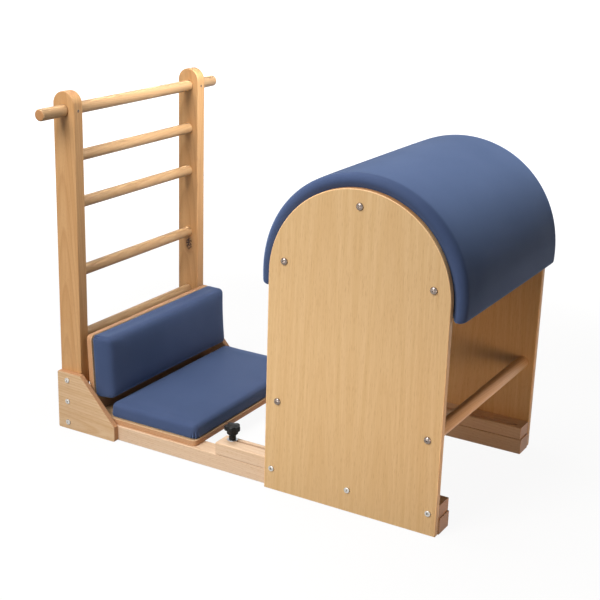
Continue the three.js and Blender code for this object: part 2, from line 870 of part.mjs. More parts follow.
function addDrum(group) {
  const endRibY = panelSpacing / 2 - gap - ribThickness / 2;
  addPiece(group, "drum_rib_right", endRib(-1), plywood, archX, -endRibY, archHeight);
  addPiece(group, "drum_rib_left", endRib(1), plywood, archX, endRibY, archHeight);
  const middleRib = bandAcross(ribOuter, ribInner, ribDrop, middleRibThickness);
  addPiece(group, "drum_rib_middle", middleRib, plywood, archX, 0, archHeight);
  const skin = bandAcross(skinOuter, skinInner, ribDrop, drumHalfLength * 2);
  addPiece(group, "drum_skin", skin, plywood, archX, 0, archHeight);
  addPiece(group, "drum_foam", drumFoam(), foam, archX, 0, archHeight);
  addPiece(group, "drum_cover", drumCover(), vinyl, archX, 0, archHeight);
  stretcherPlaces.forEach((place, i) => {
    const label = ["front", "rear"][i];
    addPiece(group, `stretcher_${label}`, stretcher(), beech, archX + place.x, 0, archHeight + place.y);
  });
}

function addDrumSide(group, side, label) {
  const panelMiddle = side * (panelSpacing + panelThickness) / 2;
  const face = side * (panelSpacing / 2 + panelThickness + gap);
  addPiece(group, `side_panel_${label}`, sidePanel(), beech, archX, panelMiddle, archHeight);
  const runnerMiddle = side * (runnerOuter - runnerWidth / 2);
  addPiece(group, `slotted_rail_${label}`, slottedRail(side), beech, runnerStart, runnerMiddle, runnerBase);
  const shank = panelThickness + gap * 2 + boltReach;
  const addRow = (kind, places, make) => places.forEach((place, i) => {
    const x = archX + place.x;
    const z = archHeight + place.y;
    addBolt(group, `${kind}_${label}_${i + 1}`, make(shank), side, x, face, z);
  });
  addRow("arch_bolt", archBoltPlaces, domeBolt);
  addRow("stretcher_bolt", stretcherPlaces, domeBolt);
  addRow("rail_bolt", railBoltPlaces, socketBolt);
}

const barrel = new THREE.Group();
addLadder(barrel);
addSeat(barrel);
addBackrest(barrel);
addDrum(barrel);
for (const [side, label] of [[-1, "right"], [1, "left"]]) {
  addLadderSide(barrel, side, label);
  addDrumSide(barrel, side, label);
  addClamp(barrel, side, label);
}

export default barrel;
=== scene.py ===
"""Looks of the pilates ladder barrel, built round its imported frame.

A padded half-round drum between two arched panels slides on two floor rails towards a ladder
with a seat and a backrest. All lengths are in metres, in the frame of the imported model: +X
runs from the ladder to the drum, +Y is the left side and the floor is at z = 0.
"""

import logging
import math
from collections.abc import Callable, Iterable, Sequence
from dataclasses import dataclass, field, replace
from enum import Enum
from typing import Any

import bmesh
import bpy
import numpy as np
from mathutils import Matrix, Vector


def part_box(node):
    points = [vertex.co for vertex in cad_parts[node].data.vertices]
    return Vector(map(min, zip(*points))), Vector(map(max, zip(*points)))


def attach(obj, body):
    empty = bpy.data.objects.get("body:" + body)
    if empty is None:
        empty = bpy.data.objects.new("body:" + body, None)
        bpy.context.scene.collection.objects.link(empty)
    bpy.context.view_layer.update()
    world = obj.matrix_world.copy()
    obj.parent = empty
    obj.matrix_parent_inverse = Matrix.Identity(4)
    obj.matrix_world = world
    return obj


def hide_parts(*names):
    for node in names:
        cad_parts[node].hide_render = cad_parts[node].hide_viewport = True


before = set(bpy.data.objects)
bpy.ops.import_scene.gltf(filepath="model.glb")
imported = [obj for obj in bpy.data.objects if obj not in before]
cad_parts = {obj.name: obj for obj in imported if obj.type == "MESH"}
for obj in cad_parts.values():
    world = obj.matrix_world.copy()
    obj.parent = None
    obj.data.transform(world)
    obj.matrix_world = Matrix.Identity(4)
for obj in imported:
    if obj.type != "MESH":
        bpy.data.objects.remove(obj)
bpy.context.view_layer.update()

log = logging.getLogger("ladder_barrel")

Colour = tuple[float, float, float, float]
Place = tuple[float, float, float]
Hole = tuple[float, Place, Place]  # its radius, start and end

BASE = "base_frame"
CARRIAGE = "barrel_carriage"
WHITE: Colour = (1.0, 1.0, 1.0, 1.0)
GAP = 0.0003  # between faces that touch
OVERRUN = 0.01  # of a cutting tool past the wood
BOLT_HOLE = 0.0045  # radius of a bolt's hole
BOLT_REACH = 0.029  # depth of a bolt's hole in solid wood
SAME = 1e-6  # points no further apart than this are one
ON_FACE = 1e-5  # points this close to a face lie on it
CLOSE = 1e-4  # points this close to a round face or an axis lie on it
NOTHING = 1e-9  # keeps a division by a length from failing
SHARP = math.radians(50)  # an edge that bends more than this is sharp
CREASE = math.radians(38)  # an edge that bends more than this shades as a crease


def tint(red: int, green: int, blue: int) -> Colour:
    """Turns a colour as a screen shows it into the linear values of a shader.

    Args:
        red: 0 to 255.
        green: 0 to 255.
        blue: 0 to 255.

    Returns:
        The linear colour with full alpha.
    """
    shares = [value / 255 for value in (red, green, blue)]
    linear = [s / 12.92 if s <= 0.04045 else ((s + 0.055) / 1.055) ** 2.4 for s in shares]
    return (linear[0], linear[1], linear[2], 1.0)


class Axis(Enum):
    """An axis of the frame."""

    X = 0
    Y = 1
    Z = 2

    @property
    def across(self) -> tuple[int, int]:
        """Gives the numbers of the two other axes, in order."""
        first, second = (i for i in range(3) if i != self.value)
        return first, second

    @property
    def unit(self) -> Vector:
        """Gives the vector of length one along the axis."""
        return Vector([float(i == self.value) for i in range(3)])


class Side(Enum):
    """A side of the apparatus, with the sign of its Y."""

    RIGHT = -1
    LEFT = 1

    @property
    def label(self) -> str:
        """Gives the word that piece names use."""
        return self.name.lower()


class Measure(Enum):
    """The distance that a cell pattern gives."""

    TO_POINT = "F1"
    TO_POINT_SOFT = "SMOOTH_F1"
    TO_BORDER = "DISTANCE_TO_EDGE"


class Joining(Enum):
    """What a tool's shape does to a form."""

    CUT = "DIFFERENCE"
    ADD = "UNION"


@dataclass(frozen=True)
class Box:
    """The box that holds a CAD node.

    Attributes:
        low: its lowest corner.
        high: its highest corner.
    """

    low: Vector
    high: Vector

    @classmethod
    def of(cls, node: str) -> "Box":
        """Reads the box of a node."""
        return cls(*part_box(node))

    @property
    def middle(self) -> Vector:
        """Gives the box's middle."""
        return (self.low + self.high) / 2

    def half(self, axis: Axis) -> float:
        """Gives half of the box's length along an axis."""
        return (self.high[axis.value] - self.low[axis.value]) / 2

    def outer(self, side: Side) -> float:
        """Gives the Y of the face that looks to a side."""
        return self.high.y if side is Side.LEFT else self.low.y

    def inner(self, side: Side) -> float:
        """Gives the Y of the face that looks away from a side."""
        return self.low.y if side is Side.LEFT else self.high.y


# Shader maths


class Field:
    """A number that varies over a surface. Python's operators on it add Math nodes."""

    def __init__(self, tree: "Tree", socket: bpy.types.NodeSocket) -> None:
        """Wraps a socket.

        Args:
            tree: the tree that the socket belongs to.
            socket: the output that gives the number.
        """
        self.tree = tree
        self.socket = socket

    def __add__(self, other: "Field | float") -> "Field":
        """Adds two fields."""
        return self.tree.math("ADD", self, other)

    def __sub__(self, other: "Field | float") -> "Field":
        """Takes the other field away."""
        return self.tree.math("SUBTRACT", self, other)

    def __rsub__(self, other: float) -> "Field":
        """Takes the field away from a number."""
        return self.tree.math("SUBTRACT", other, self)

    def __mul__(self, other: "Field | float") -> "Field":
        """Multiplies two fields."""
        return self.tree.math("MULTIPLY", self, other)

    def __truediv__(self, other: "Field | float") -> "Field":
        """Divides by the other field."""
        return self.tree.math("DIVIDE", self, other)

    def __abs__(self) -> "Field":
        """Drops the sign."""
        return self.tree.math("ABSOLUTE", self)

    __radd__ = __add__
    __rmul__ = __mul__


class Tree:
    """A node tree, drawn with one method for every kind of node."""

    def __init__(self, tree: bpy.types.NodeTree) -> None:
        """Wraps a tree.

        Args:
            tree: of a material or a world.
        """
        self.nodes = tree.nodes
        self.links = tree.links

    def node(
        self, kind: str, settings: dict[str, Any] | None = None, sockets: dict[int | str, Any] | None = None
    ) -> bpy.types.Node:
        """Adds a node.

        Args:
            kind: the node's type.
            settings: its properties, and a ramp's stops as (place, colour) under "stops".
            sockets: values, fields or links for its inputs, by name or number.

        Returns:
            The node.
        """
        made = self.nodes.new(kind)
        for key, value in (settings or {}).items():
            if key == "stops":
                self._set_stops(made.color_ramp, value)
            else:
                setattr(made, key, value)
        for key, value in (sockets or {}).items():
            self.feed(made.inputs[key], value)
        return made

    @staticmethod
    def _set_stops(ramp: bpy.types.ColorRamp, stops: Sequence[tuple[float, Colour]]) -> None:
        """Replaces a ramp's stops.

        Args:
            ramp: the ramp.
            stops: the place and colour of each.
        """
        while len(ramp.elements) < len(stops):
            ramp.elements.new(1.0)
        for element, (place, colour) in zip(ramp.elements, stops):
            element.position = place
            element.color = colour

    def feed(self, socket: bpy.types.NodeSocket, value: Any) -> None:
        """Links or sets an input.

        Args:
            socket: the input.
            value: a field, an output to link, or a plain value.
        """
        source = value.socket if isinstance(value, Field) else value
        if isinstance(source, bpy.types.NodeSocket):
            self.links.new(source, socket)
        else:
            socket.default_value = source

    def math(self, operation: str, *values: "Field | float") -> Field:
        """Adds a Math node.

        Args:
            operation: what the node works out.
            values: its inputs.

        Returns:
            The result.
        """
        made = self.node("ShaderNodeMath", {"operation": operation}, dict(enumerate(values)))
        return Field(self, made.outputs[0])

    def mix(self, share: Field | float, first: Any, second: Any) -> bpy.types.NodeSocket:
        """Mixes two colours.

        Args:
            share: how much of the second shows.
            first: a colour or a link.
            second: a colour or a link.

        Returns:
            The mixed colour.
        """
        settings = {"data_type": "RGBA"}
        return self.node("ShaderNodeMix", settings, {0: share, 6: first, 7: second}).outputs[2]

    def backdrop(self) -> Field:
        """Tells a ray that shows the backdrop: straight, mirrored or through glass.

        Returns:
            1 for such a ray, 0 for any other.
        """
        path = self.node("ShaderNodeLightPath")
        names = ("Is Camera Ray", "Is Glossy Ray", "Is Transmission Ray")
        straight, mirrored, through = (Field(self, path.outputs[name]) for name in names)
        return self.math("MAXIMUM", self.math("MAXIMUM", straight, mirrored), through)


class Shader(Tree):
    """The node tree of one material."""

    def __init__(self, name: str) -> None:
        """Starts a material.

        Args:
            name: the material's name.
        """
        self.material = bpy.data.materials.new(name)
        self.material.use_nodes = True
        super().__init__(self.material.node_tree)
        self.surface = self.nodes["Principled BSDF"]
        coordinates = self.node("ShaderNodeTexCoord")
        self.point = coordinates.outputs["Object"]
        self.normal = coordinates.outputs["Normal"]

    def parts(self, vector: bpy.types.NodeSocket) -> list[Field]:
        """Splits a vector into its three numbers."""
        made = self.node("ShaderNodeSeparateXYZ", sockets={0: vector})
        return [Field(self, output) for output in made.outputs]

    def vector(self, x: Field | float, y: Field | float, z: Field | float) -> bpy.types.NodeSocket:
        """Joins three numbers into a vector."""
        return self.node("ShaderNodeCombineXYZ", sockets={0: x, 1: y, 2: z}).outputs[0]

    def noise(self, place: bpy.types.NodeSocket, scale: float, detail: float = 2.0) -> Field:
        """Adds a smooth noise.

        Args:
            place: where to read it.
            scale: lumps in a unit of the place.
            detail: how many finer layers it has.

        Returns:
            The noise, round 0.5.
        """
        made = self.node("ShaderNodeTexNoise", sockets={"Vector": place, "Scale": scale, "Detail": detail})
        return Field(self, made.outputs[0])

    def cells(self, place: bpy.types.NodeSocket, scale: float, measure: Measure = Measure.TO_POINT) -> Field:
        """Adds a cell pattern.

        Args:
            place: where to read it.
            scale: cells in a unit of the place.
            measure: which distance it gives.

        Returns:
            The distance.
        """
        settings, sockets = {"feature": measure.value}, {"Vector": place, "Scale": scale}
        return Field(self, self.node("ShaderNodeTexVoronoi", settings, sockets).outputs["Distance"])

    def along(self, vector: bpy.types.NodeSocket, direction: Vector) -> Field:
        """Gives how far a vector reaches in a direction."""
        made = self.node("ShaderNodeVectorMath", {"operation": "DOT_PRODUCT"}, {0: vector, 1: direction})
        return Field(self, made.outputs[1])

    def rise(self, value: Field, low: float, high: float) -> Field:
        """Rises smoothly from 0 to 1 as a value grows.

        Args:
            value: the value.
            low: where it starts to rise.
            high: where it reaches 1.

        Returns:
            The share.
        """
        settings = {"interpolation_type": "SMOOTHSTEP"}
        made = self.node("ShaderNodeMapRange", settings, {0: value, 1: low, 2: high, 3: 0.0, 4: 1.0})
        return Field(self, made.outputs[0])

    def curve(self, value: Field, stops: Sequence[tuple[float, float]]) -> Field:
        """Reads a value off a curve.

        Args:
            value: from 0 to 1.
            stops: places and heights of the curve.

        Returns:
            The height.
        """
        greys = [(place, (height, height, height, 1.0)) for place, height in stops]
        return Field(self, self.node("ShaderNodeValToRGB", {"stops": greys}, {0: value}).outputs[0])

    def distance(self, *ways: Field) -> Field:
        """Measures a line that goes several ways.

        Args:
            ways: how far it goes each way, all square to each other.

        Returns:
            Its length.
        """
        total = ways[0] * ways[0]
        for way in ways[1:]:
            total = total + way * way
        return self.math("SQRT", total)

    def relief(self, height: Field, depth: float, strength: float = 1.0) -> bpy.types.NodeSocket:
        """Turns a height into a bumped normal.

        Args:
            height: from 0 to 1.
            depth: how high 1 stands, in metres.
            strength: share of the effect.

        Returns:
            The normal.
        """
        sockets = {"Height": height, "Distance": depth, "Strength": strength}
        return self.node("ShaderNodeBump", sockets=sockets).outputs[0]

    def done(self, **sockets: Any) -> bpy.types.Material:
        """Feeds the surface and hands over the material.

        Args:
            sockets: what each input of the surface takes, with _ for a space in its name.

        Returns:
            The material.
        """
        for key, value in sockets.items():
            self.feed(self.surface.inputs[key.replace("_", " ")], value)
        return self.material


# Finishes


@dataclass(frozen=True)
class Cut:
    """How a piece of wood was sawn from its log.

    Attributes:
        along: the axis of the fibres.
        heart: where the log's heart line lies on the two other axes.
        joint: on veneer, where two mirrored leaves meet on the first other axis.
        shift: moves the figure along the piece, so that no two pieces match.
        knot: middle of a knot, if the piece has one.
    """

    along: Axis
    heart: tuple[float, float]
    joint: float | None = None
    shift: float = 0.0
    knot: Place | None = None


@dataclass(frozen=True)
class Beech:
    """Steamed beech under satin lacquer: faint rings, fine fibres and short ray flecks.

    Attributes:
        pale: colour of the lighter years.
        warm: colour of the darker years.
        late: colour of the dense wood that ends a ring, and of the fibres.
        fleck: colour of the ray flecks.
        end: colour of the end grain.
        knot: colour of a knot's heart.
        ring: width of a year's ring.
        taper: how much the log narrows along its length.
        sway: how far the rings wander.
        late_share: how strongly the dense wood shows.
        fibre_share: how strongly the fibres show.
        fleck_share: how strongly the flecks show.
        band: broad streaks in a metre across the wood.
        fibre: fibres in a metre across the wood.
        fleck_width: flecks in a metre across the wood.
        dash: flecks in a metre along the wood.
        pore: pores in a metre of end grain.
        knot_reach: how far from a knot the rings bend.
        roughness: of the lacquer.
        gloss: of the lacquer.
        coat: share of the lacquer's clear layer.
        grain: height of the fibres.
    """

    pale: Colour = tint(224, 188, 143)
    warm: Colour = tint(211, 168, 115)
    late: Colour = tint(190, 140, 88)
    fleck: Colour = tint(176, 126, 80)
    end: Colour = tint(182, 132, 86)
    knot: Colour = tint(58, 34, 22)
    ring: float = 0.0075
    taper: float = 0.045
    sway: float = 0.012
    late_share: float = 0.42
    fibre_share: float = 0.3
    fleck_share: float = 0.45
    band: float = 75.0
    fibre: float = 950.0
    fleck_width: float = 460.0
    dash: float = 75.0
    pore: float = 1400.0
    knot_reach: float = 0.03
    roughness: float = 0.44
    gloss: float = 0.3
    coat: float = 0.05
    grain: float = 0.00012

    def figure(self, shader: Shader, cut: Cut) -> tuple[bpy.types.NodeSocket, Field]:
        """Draws the wood through the solid of a piece.

        Args:
            shader: the tree to draw in.
            cut: how the piece was sawn.

        Returns:
            The colour, and the height of the fibres from 0 to 1.
        """
        places = shader.parts(shader.point)
        first, second = cut.along.across
        along = places[cut.along.value] + cut.shift
        if cut.joint is None:
            u = places[first] - cut.heart[0]
        else:
            u = abs(places[first] - cut.joint) - cut.heart[0]
        v = places[second] - cut.heart[1]
        wander = shader.noise(shader.vector(u * 4.0, v * 4.0, along * 1.6), 1.0, 3.0) - 0.5
        ripple = shader.noise(shader.vector(u * 40.0, v * 40.0, along * 5.0), 1.0) - 0.5
        grown = shader.distance(u, v) + along * self.taper + wander * self.sway + ripple * (self.sway * 0.12)
        if cut.knot is not None:
            x, y, z = (place - middle for place, middle in zip(places, cut.knot))
            around = shader.distance(x, y, z * 0.6)
            near = 1.0 - shader.rise(around, 0.0, self.knot_reach)
            grown = grown + near * near * self.knot_reach
        rings = grown / self.ring
        late = shader.curve(shader.math("FRACT", rings), ((0.0, 0.1), (0.55, 0.25), (0.88, 1.0), (1.0, 0.1)))
        years = shader.noise(shader.vector(rings * 0.55, 0.0, 0.0), 1.0, 3.0)
        bands = shader.noise(shader.vector(u * self.band, v * self.band, along * 0.9), 1.0, 4.0)
        fibres = shader.noise(shader.vector(u * self.fibre, v * self.fibre, along * 14.0), 1.0, 3.0)
        across = (u * self.fleck_width, v * self.fleck_width)
        dashes = shader.cells(shader.vector(*across, along * self.dash), 1.0)
        flecks = (1.0 - shader.rise(dashes, 0.14, 0.4)) * shader.rise(fibres, 0.36, 0.6)
        colour = shader.mix(shader.rise(years * 0.6 + bands * 0.4, 0.34, 0.66), self.pale, self.warm)
        colour = shader.mix(late * self.late_share, colour, self.late)
        colour = shader.mix(shader.rise(fibres, 0.42, 0.72) * self.fibre_share, colour, self.late)
        colour = shader.mix(flecks * self.fleck_share, colour, self.fleck)
        if cut.knot is not None:
            torn = shader.rise(shader.noise(shader.point, 150.0, 3.0), 0.42, 0.52)
            heart = torn * (1.0 - shader.rise(around, 0.008, 0.015))
            colour = shader.mix(near * 0.55, colour, self.fleck)
            colour = shader.mix(heart * 0.95, colour, self.knot)
        facing = abs(shader.parts(shader.normal)[cut.along.value])
        end_grain = shader.rise(facing, 0.55, 0.9)
        pores = shader.rise(shader.cells(shader.point, self.pore), 0.15, 0.45)
        end_colour = shader.mix(late * 0.5 + (1.0 - pores) * 0.25, self.end, self.fleck)
        return shader.mix(end_grain, colour, end_colour), fibres - flecks * 0.5

    def material(self, name: str, cut: Cut) -> bpy.types.Material:
        """Makes the finish for one piece.

        Args:
            name: the material's name.
            cut: how the piece was sawn.

        Returns:
            The material.
        """
        shader = Shader(name)
        colour, height = self.figure(shader, cut)
        return shader.done(
            Base_Color=colour,
            Specular_IOR_Level=self.gloss,
            Roughness=height * 0.12 + (self.roughness - 0.06),
            Coat_Weight=self.coat,
            Coat_Roughness=0.3,
            Normal=shader.relief(height, self.grain, 0.35),
        )


@dataclass(frozen=True)
class Plywood:
    """Beech plywood: veneer on its faces, and the plies on its edges.

    Attributes:
        face: the outer veneer.
        long_ply: colour of the plies that run along the edge.
        cross_ply: colour of the plies whose ends show.
        glue: colour of the glue lines.
        ply: thickness of a ply.
        saw: marks of the saw in a metre of edge.
        pit: pits in a metre of the plies whose ends show.
    """

    face: Beech
    long_ply: Colour = tint(214, 168, 124)
    cross_ply: Colour = tint(180, 126, 88)
    glue: Colour = tint(120, 78, 52)
    ply: float = 0.0016
    saw: float = 260.0
    pit: float = 900.0

    def material(self, name: str, cut: Cut, across: Vector, base: float) -> bpy.types.Material:
        """Makes the finish for one board.

        Args:
            name: the material's name.
            cut: how the outer veneer was cut.
            across: direction of the board's thickness.
            base: where the board starts along that direction.

        Returns:
            The material.
        """
        shader = Shader(name)
        colour, height = self.face.figure(shader, cut)
        rough_edge = shader.noise(shader.point, self.saw, 3.0) - 0.5
        layer = (shader.along(shader.point, across) - base) / self.ply + rough_edge * 0.25
        pair = shader.math("FRACT", layer * 0.5)
        cross = shader.rise(abs(pair - 0.5), 0.23, 0.27)
        seam = 1.0 - shader.rise(abs(shader.math("FRACT", layer) - 0.5), 0.4, 0.5)
        pits = shader.rise(shader.cells(shader.point, self.pit), 0.12, 0.4)
        plies = shader.mix(cross, self.long_ply, self.cross_ply)
        plies = shader.mix((1.0 - pits) * cross * 0.5 + rough_edge * 0.4, plies, self.glue)
        plies = shader.mix((1.0 - seam) * 0.45, plies, self.glue)
        edge = 1.0 - shader.rise(abs(shader.along(shader.normal, across)), 0.5, 0.85)
        relief = height * (1.0 - edge) + (seam + pits * 0.5) * edge
        return shader.done(
            Base_Color=shader.mix(edge, colour, plies),
            Specular_IOR_Level=self.face.gloss,
            Roughness=edge * 0.14 + self.face.roughness,
            Coat_Weight=self.face.coat,
            Coat_Roughness=0.3,
            Normal=shader.relief(relief, self.face.grain, 0.4),
        )


@dataclass(frozen=True)
class Vinyl:
    """Imitation leather: a fine pebble grain with a soft sheen.

    Attributes:
        base: its lighter blue.
        deep: its darker blue.
        crease: colour between the pebbles.
        sheen_tint: colour of the sheen.
        sheen: strength of the sheen.
        pebble: width of a pebble.
        cloud: soft changes of colour in a metre.
        roughness: of the surface.
        gloss: of the surface.
        grain: height of the pebbles.
    """

    base: Colour = tint(74, 88, 121)
    deep: Colour = tint(69, 83, 115)
    crease: Colour = tint(38, 49, 78)
    sheen_tint: Colour = tint(166, 198, 255)
    sheen: float = 0.9
    pebble: float = 0.0011
    cloud: float = 7.0
    roughness: float = 0.42
    gloss: float = 0.025
    grain: float = 0.0002

    def material(self, name: str) -> bpy.types.Material:
        """Makes the finish.

        Args:
            name: the material's name.

        Returns:
            The material.
        """
        shader = Shader(name)
        warp = shader.noise(shader.point, 0.5 / self.pebble, 2.0)
        pebbles = shader.cells(shader.point, 1.0 / self.pebble, Measure.TO_POINT_SOFT)
        borders = shader.cells(shader.point, 0.8 / self.pebble, Measure.TO_BORDER)
        creases = 1.0 - shader.rise(borders, 0.0, 0.12)
        cloud = shader.noise(shader.point, self.cloud, 3.0)
        colour = shader.mix(shader.rise(cloud, 0.3, 0.7), self.base, self.deep)
        colour = shader.mix(creases * 0.4, colour, self.crease)
        height = (1.0 - pebbles) * 0.6 + warp * 0.3 - creases * 0.35
        return shader.done(
            Base_Color=colour,
            Specular_IOR_Level=self.gloss,
            Roughness=cloud * 0.08 + creases * 0.1 + (self.roughness - 0.04),
            Sheen_Weight=self.sheen,
            Sheen_Roughness=0.4,
            Sheen_Tint=self.sheen_tint,
            Normal=shader.relief(height, self.grain, 0.35),
        )


@dataclass(frozen=True)
class Metal:
    """A plated or turned metal with fine marks on it.

    Attributes:
        base: its colour.
        worn: its colour where hands and air have dulled it.
        roughness: where it is smoothest.
        marks: how much scratches and smears roughen it.
        scratch: depth of a scratch.
        fine: scratches in a metre across them.
        coarse: scratches in a metre along them.
        smear: smears in a metre.
    """

    base: Colour
    worn: Colour
    roughness: float
    marks: float = 0.08
    scratch: float = 0.00003
    fine: float = 900.0
    coarse: float = 250.0
    smear: float = 120.0

    def material(self, name: str, thread: float = 0.0) -> bpy.types.Material:
        """Makes the finish.

        Args:
            name: the material's name.
            thread: pitch of a thread along Z, or 0.

        Returns:
            The material.
        """
        shader = Shader(name)
        x, y, z = shader.parts(shader.point)
        scratches = shader.noise(shader.vector(x * self.fine, y * self.coarse, z * self.fine), 1.0, 3.0)
        smears = shader.noise(shader.point, self.smear, 2.0)
        height = scratches * 0.2
        if thread:
            height = height + abs(shader.math("FRACT", z / thread) - 0.5) * 2.0
        return shader.done(
            Base_Color=shader.mix(shader.rise(smears, 0.35, 0.75) * 0.6, self.base, self.worn),
            Metallic=1.0,
            Roughness=scratches * self.marks + smears * self.marks + (self.roughness - self.marks),
            Normal=shader.relief(height, thread * 0.4 if thread else self.scratch, 0.5),
        )


@dataclass(frozen=True)
class Moulding:
    """Moulded plastic with a fine spark texture and worn, paler spots.

    Attributes:
        base: its colour.
        worn: its colour where hands have worn it.
        spark: grains of the texture in a metre.
        smear: worn spots in a metre.
        roughness: where it is roughest.
        gloss: of the surface.
        grain: height of the texture.
    """

    base: Colour = tint(15, 15, 15)
    worn: Colour = tint(27, 27, 28)
    spark: float = 1800.0
    smear: float = 90.0
    roughness: float = 0.42
    gloss: float = 0.2
    grain: float = 0.00008

    def material(self, name: str) -> bpy.types.Material:
        """Makes the finish.

        Args:
            name: the material's name.

        Returns:
            The material.
        """
        shader = Shader(name)
        sparks = shader.noise(shader.point, self.spark, 3.0)
        smears = shader.noise(shader.point, self.smear, 3.0)
        return shader.done(
            Base_Color=shader.mix(shader.rise(smears, 0.45, 0.75) * 0.5, self.base, self.worn),
            Specular_IOR_Level=self.gloss,
            Roughness=smears * 0.15 + sparks * 0.06 + (self.roughness - 0.1),
            Normal=shader.relief(sparks, self.grain, 0.5),
        )


# Forms


class Form:
    """A shape in the making, worked with mesh operators."""

    def __init__(self) -> None:
        """Starts with nothing."""
        self.mesh = bmesh.new()
        self.ends: list[bmesh.types.BMFace] = []

    def block(self, low: Sequence[float], high: Sequence[float]) -> "Form":
        """Adds a block.

        Args:
            low: its lowest corner.
            high: its highest corner.

        Returns:
            The form.
        """
        low, high = Vector(low), Vector(high)
        verts = bmesh.ops.create_cube(self.mesh, size=1.0)["verts"]
        bmesh.ops.scale(self.mesh, vec=high - low, verts=verts)
        bmesh.ops.translate(self.mesh, vec=(low + high) / 2, verts=verts)
        return self

    def rod(self, radius: float, start: Sequence[float], end: Sequence[float], sides: int = 48) -> "Form":
        """Adds a round or many-sided rod.

        Args:
            radius: to its corners.
            start: the middle of one end.
            end: the middle of the other end.
            sides: how many faces go round it.

        Returns:
            The form.
        """
        start, end = Vector(start), Vector(end)
        run = end - start
        made = bmesh.ops.create_cone(
            self.mesh, cap_ends=True, segments=sides, radius1=radius, radius2=radius, depth=run.length
        )
        turn = run.to_track_quat("Z", "Y").to_matrix().to_4x4()
        place = Matrix.Translation((start + end) / 2)
        bmesh.ops.transform(self.mesh, matrix=place @ turn, verts=made["verts"])
        return self

    def plate(self, corners: Sequence[tuple[float, float]], low: float, high: float) -> "Form":
        """Adds a plate from its corners in X and Z.

        Args:
            corners: the outline.
            low: its lowest Y.
            high: its highest Y.

        Returns:
            The form.
        """
        verts = [self.mesh.verts.new((x, low, z)) for x, z in corners]
        return self._extrude([self.mesh.faces.new(verts)], Vector((0, high - low, 0))).outward()

    def _extrude(self, faces: list[bmesh.types.BMFace], by: Vector, closed: bool = True) -> "Form":
        """Draws faces out, and keeps the faces that they end in as the form's ends.

        Args:
            faces: what to draw out.
            by: how far.
            closed: whether the faces stay as the start's cap.

        Returns:
            The form.
        """
        made = bmesh.ops.extrude_face_region(self.mesh, geom=faces, use_keep_orig=closed)
        moved = [item for item in made["geom"] if isinstance(item, bmesh.types.BMVert)]
        bmesh.ops.translate(self.mesh, vec=by, verts=moved)
        self.ends = [item for item in made["geom"] if isinstance(item, bmesh.types.BMFace)]
        return self

    def band(self, middle: tuple[float, float], radii: tuple[float, float], sides: tuple[float, float],
             foot: float, steps: int = 96) -> "Form":
        """Adds an arched band: a leg up, half a turn round the middle, and a leg down.

        Args:
            middle: X and Z of the arch's centre.
            radii: of the inner and the outer face.
            sides: lowest and highest Y.
            foot: Z of the legs' ends.
            steps: facets round the arch.

        Returns:
            The form.
        """
        (x, z), (inner, outer), (low, high) = middle, radii, sides
        corners = ((inner, low), (outer, low), (outer, high), (inner, high))
        verts = [self.mesh.verts.new((x + r, y, foot)) for r, y in corners]
        self._extrude([self.mesh.faces.new(verts)], Vector((0, 0, z - foot)))
        start = self.ends[0]
        turned = bmesh.ops.spin(
            self.mesh, geom=[start, *start.edges, *start.verts], cent=(x, 0, z), axis=(0, -1, 0),
            angle=math.pi, steps=steps,
        )
        last = [item for item in turned["geom_last"] if isinstance(item, bmesh.types.BMFace)]
        self._extrude(last, Vector((0, 0, foot - z)), closed=False)
        bmesh.ops.remove_doubles(self.mesh, verts=self.mesh.verts, dist=SAME)
        inside = [f for f in self.mesh.faces if all(len(e.link_faces) > 2 for e in f.edges)]
        bmesh.ops.delete(self.mesh, geom=inside, context="FACES_ONLY")
        return self.outward()

    def turned(self, profile: Sequence[tuple[float, float]], start: Sequence[float], along: Vector,
               closed: bool = False, steps: int = 40) -> "Form":
        """Adds a turned shape.

        Args:
            profile: radius and height of each point of the outline.
            start: where height 0 lies.
            along: direction of the axis.
            closed: whether the outline's end joins its start, as on a ring.
            steps: facets round the axis.

        Returns:
            The form.
        """
        verts = [self.mesh.verts.new((radius, 0, height)) for radius, height in profile]
        pairs = list(zip(verts, verts[1:])) + ([(verts[-1], verts[0])] if closed else [])
        edges = [self.mesh.edges.new(pair) for pair in pairs]
        made = bmesh.ops.spin(
            self.mesh, geom=verts + edges, cent=(0, 0, 0), axis=(0, 0, 1), angle=math.tau, steps=steps,
            use_merge=True,
        )
        found = {vert for item in made["geom_last"] for vert in getattr(item, "verts", [item])}
        island = self._grown(found | set(verts))
        turn = along.to_track_quat("Z", "Y").to_matrix().to_4x4()
        bmesh.ops.transform(self.mesh, matrix=Matrix.Translation(Vector(start)) @ turn, verts=list(island))
        bmesh.ops.remove_doubles(self.mesh, verts=self.mesh.verts, dist=SAME)
        return self.outward()

    @staticmethod
    def _grown(verts: set[bmesh.types.BMVert]) -> set[bmesh.types.BMVert]:
        """Grows a set of vertices along the edges.

        Args:
            verts: where it starts.

        Returns:
            All that are joined to them.
        """
        found, edge = set(verts), list(verts)
        while edge:
            for link in edge.pop().link_edges:
                for vert in link.verts:
                    if vert not in found:
                        found.add(vert)
                        edge.append(vert)
        return found

    def outward(self) -> "Form":
        """Turns all faces outwards."""
        bmesh.ops.recalc_face_normals(self.mesh, faces=self.mesh.faces)
        return self

    def edges(self, test: Callable[[Vector], bool]) -> list[bmesh.types.BMEdge]:
        """Finds the edges whose two ends pass a test."""
        return [edge for edge in self.mesh.edges if all(test(vert.co) for vert in edge.verts)]

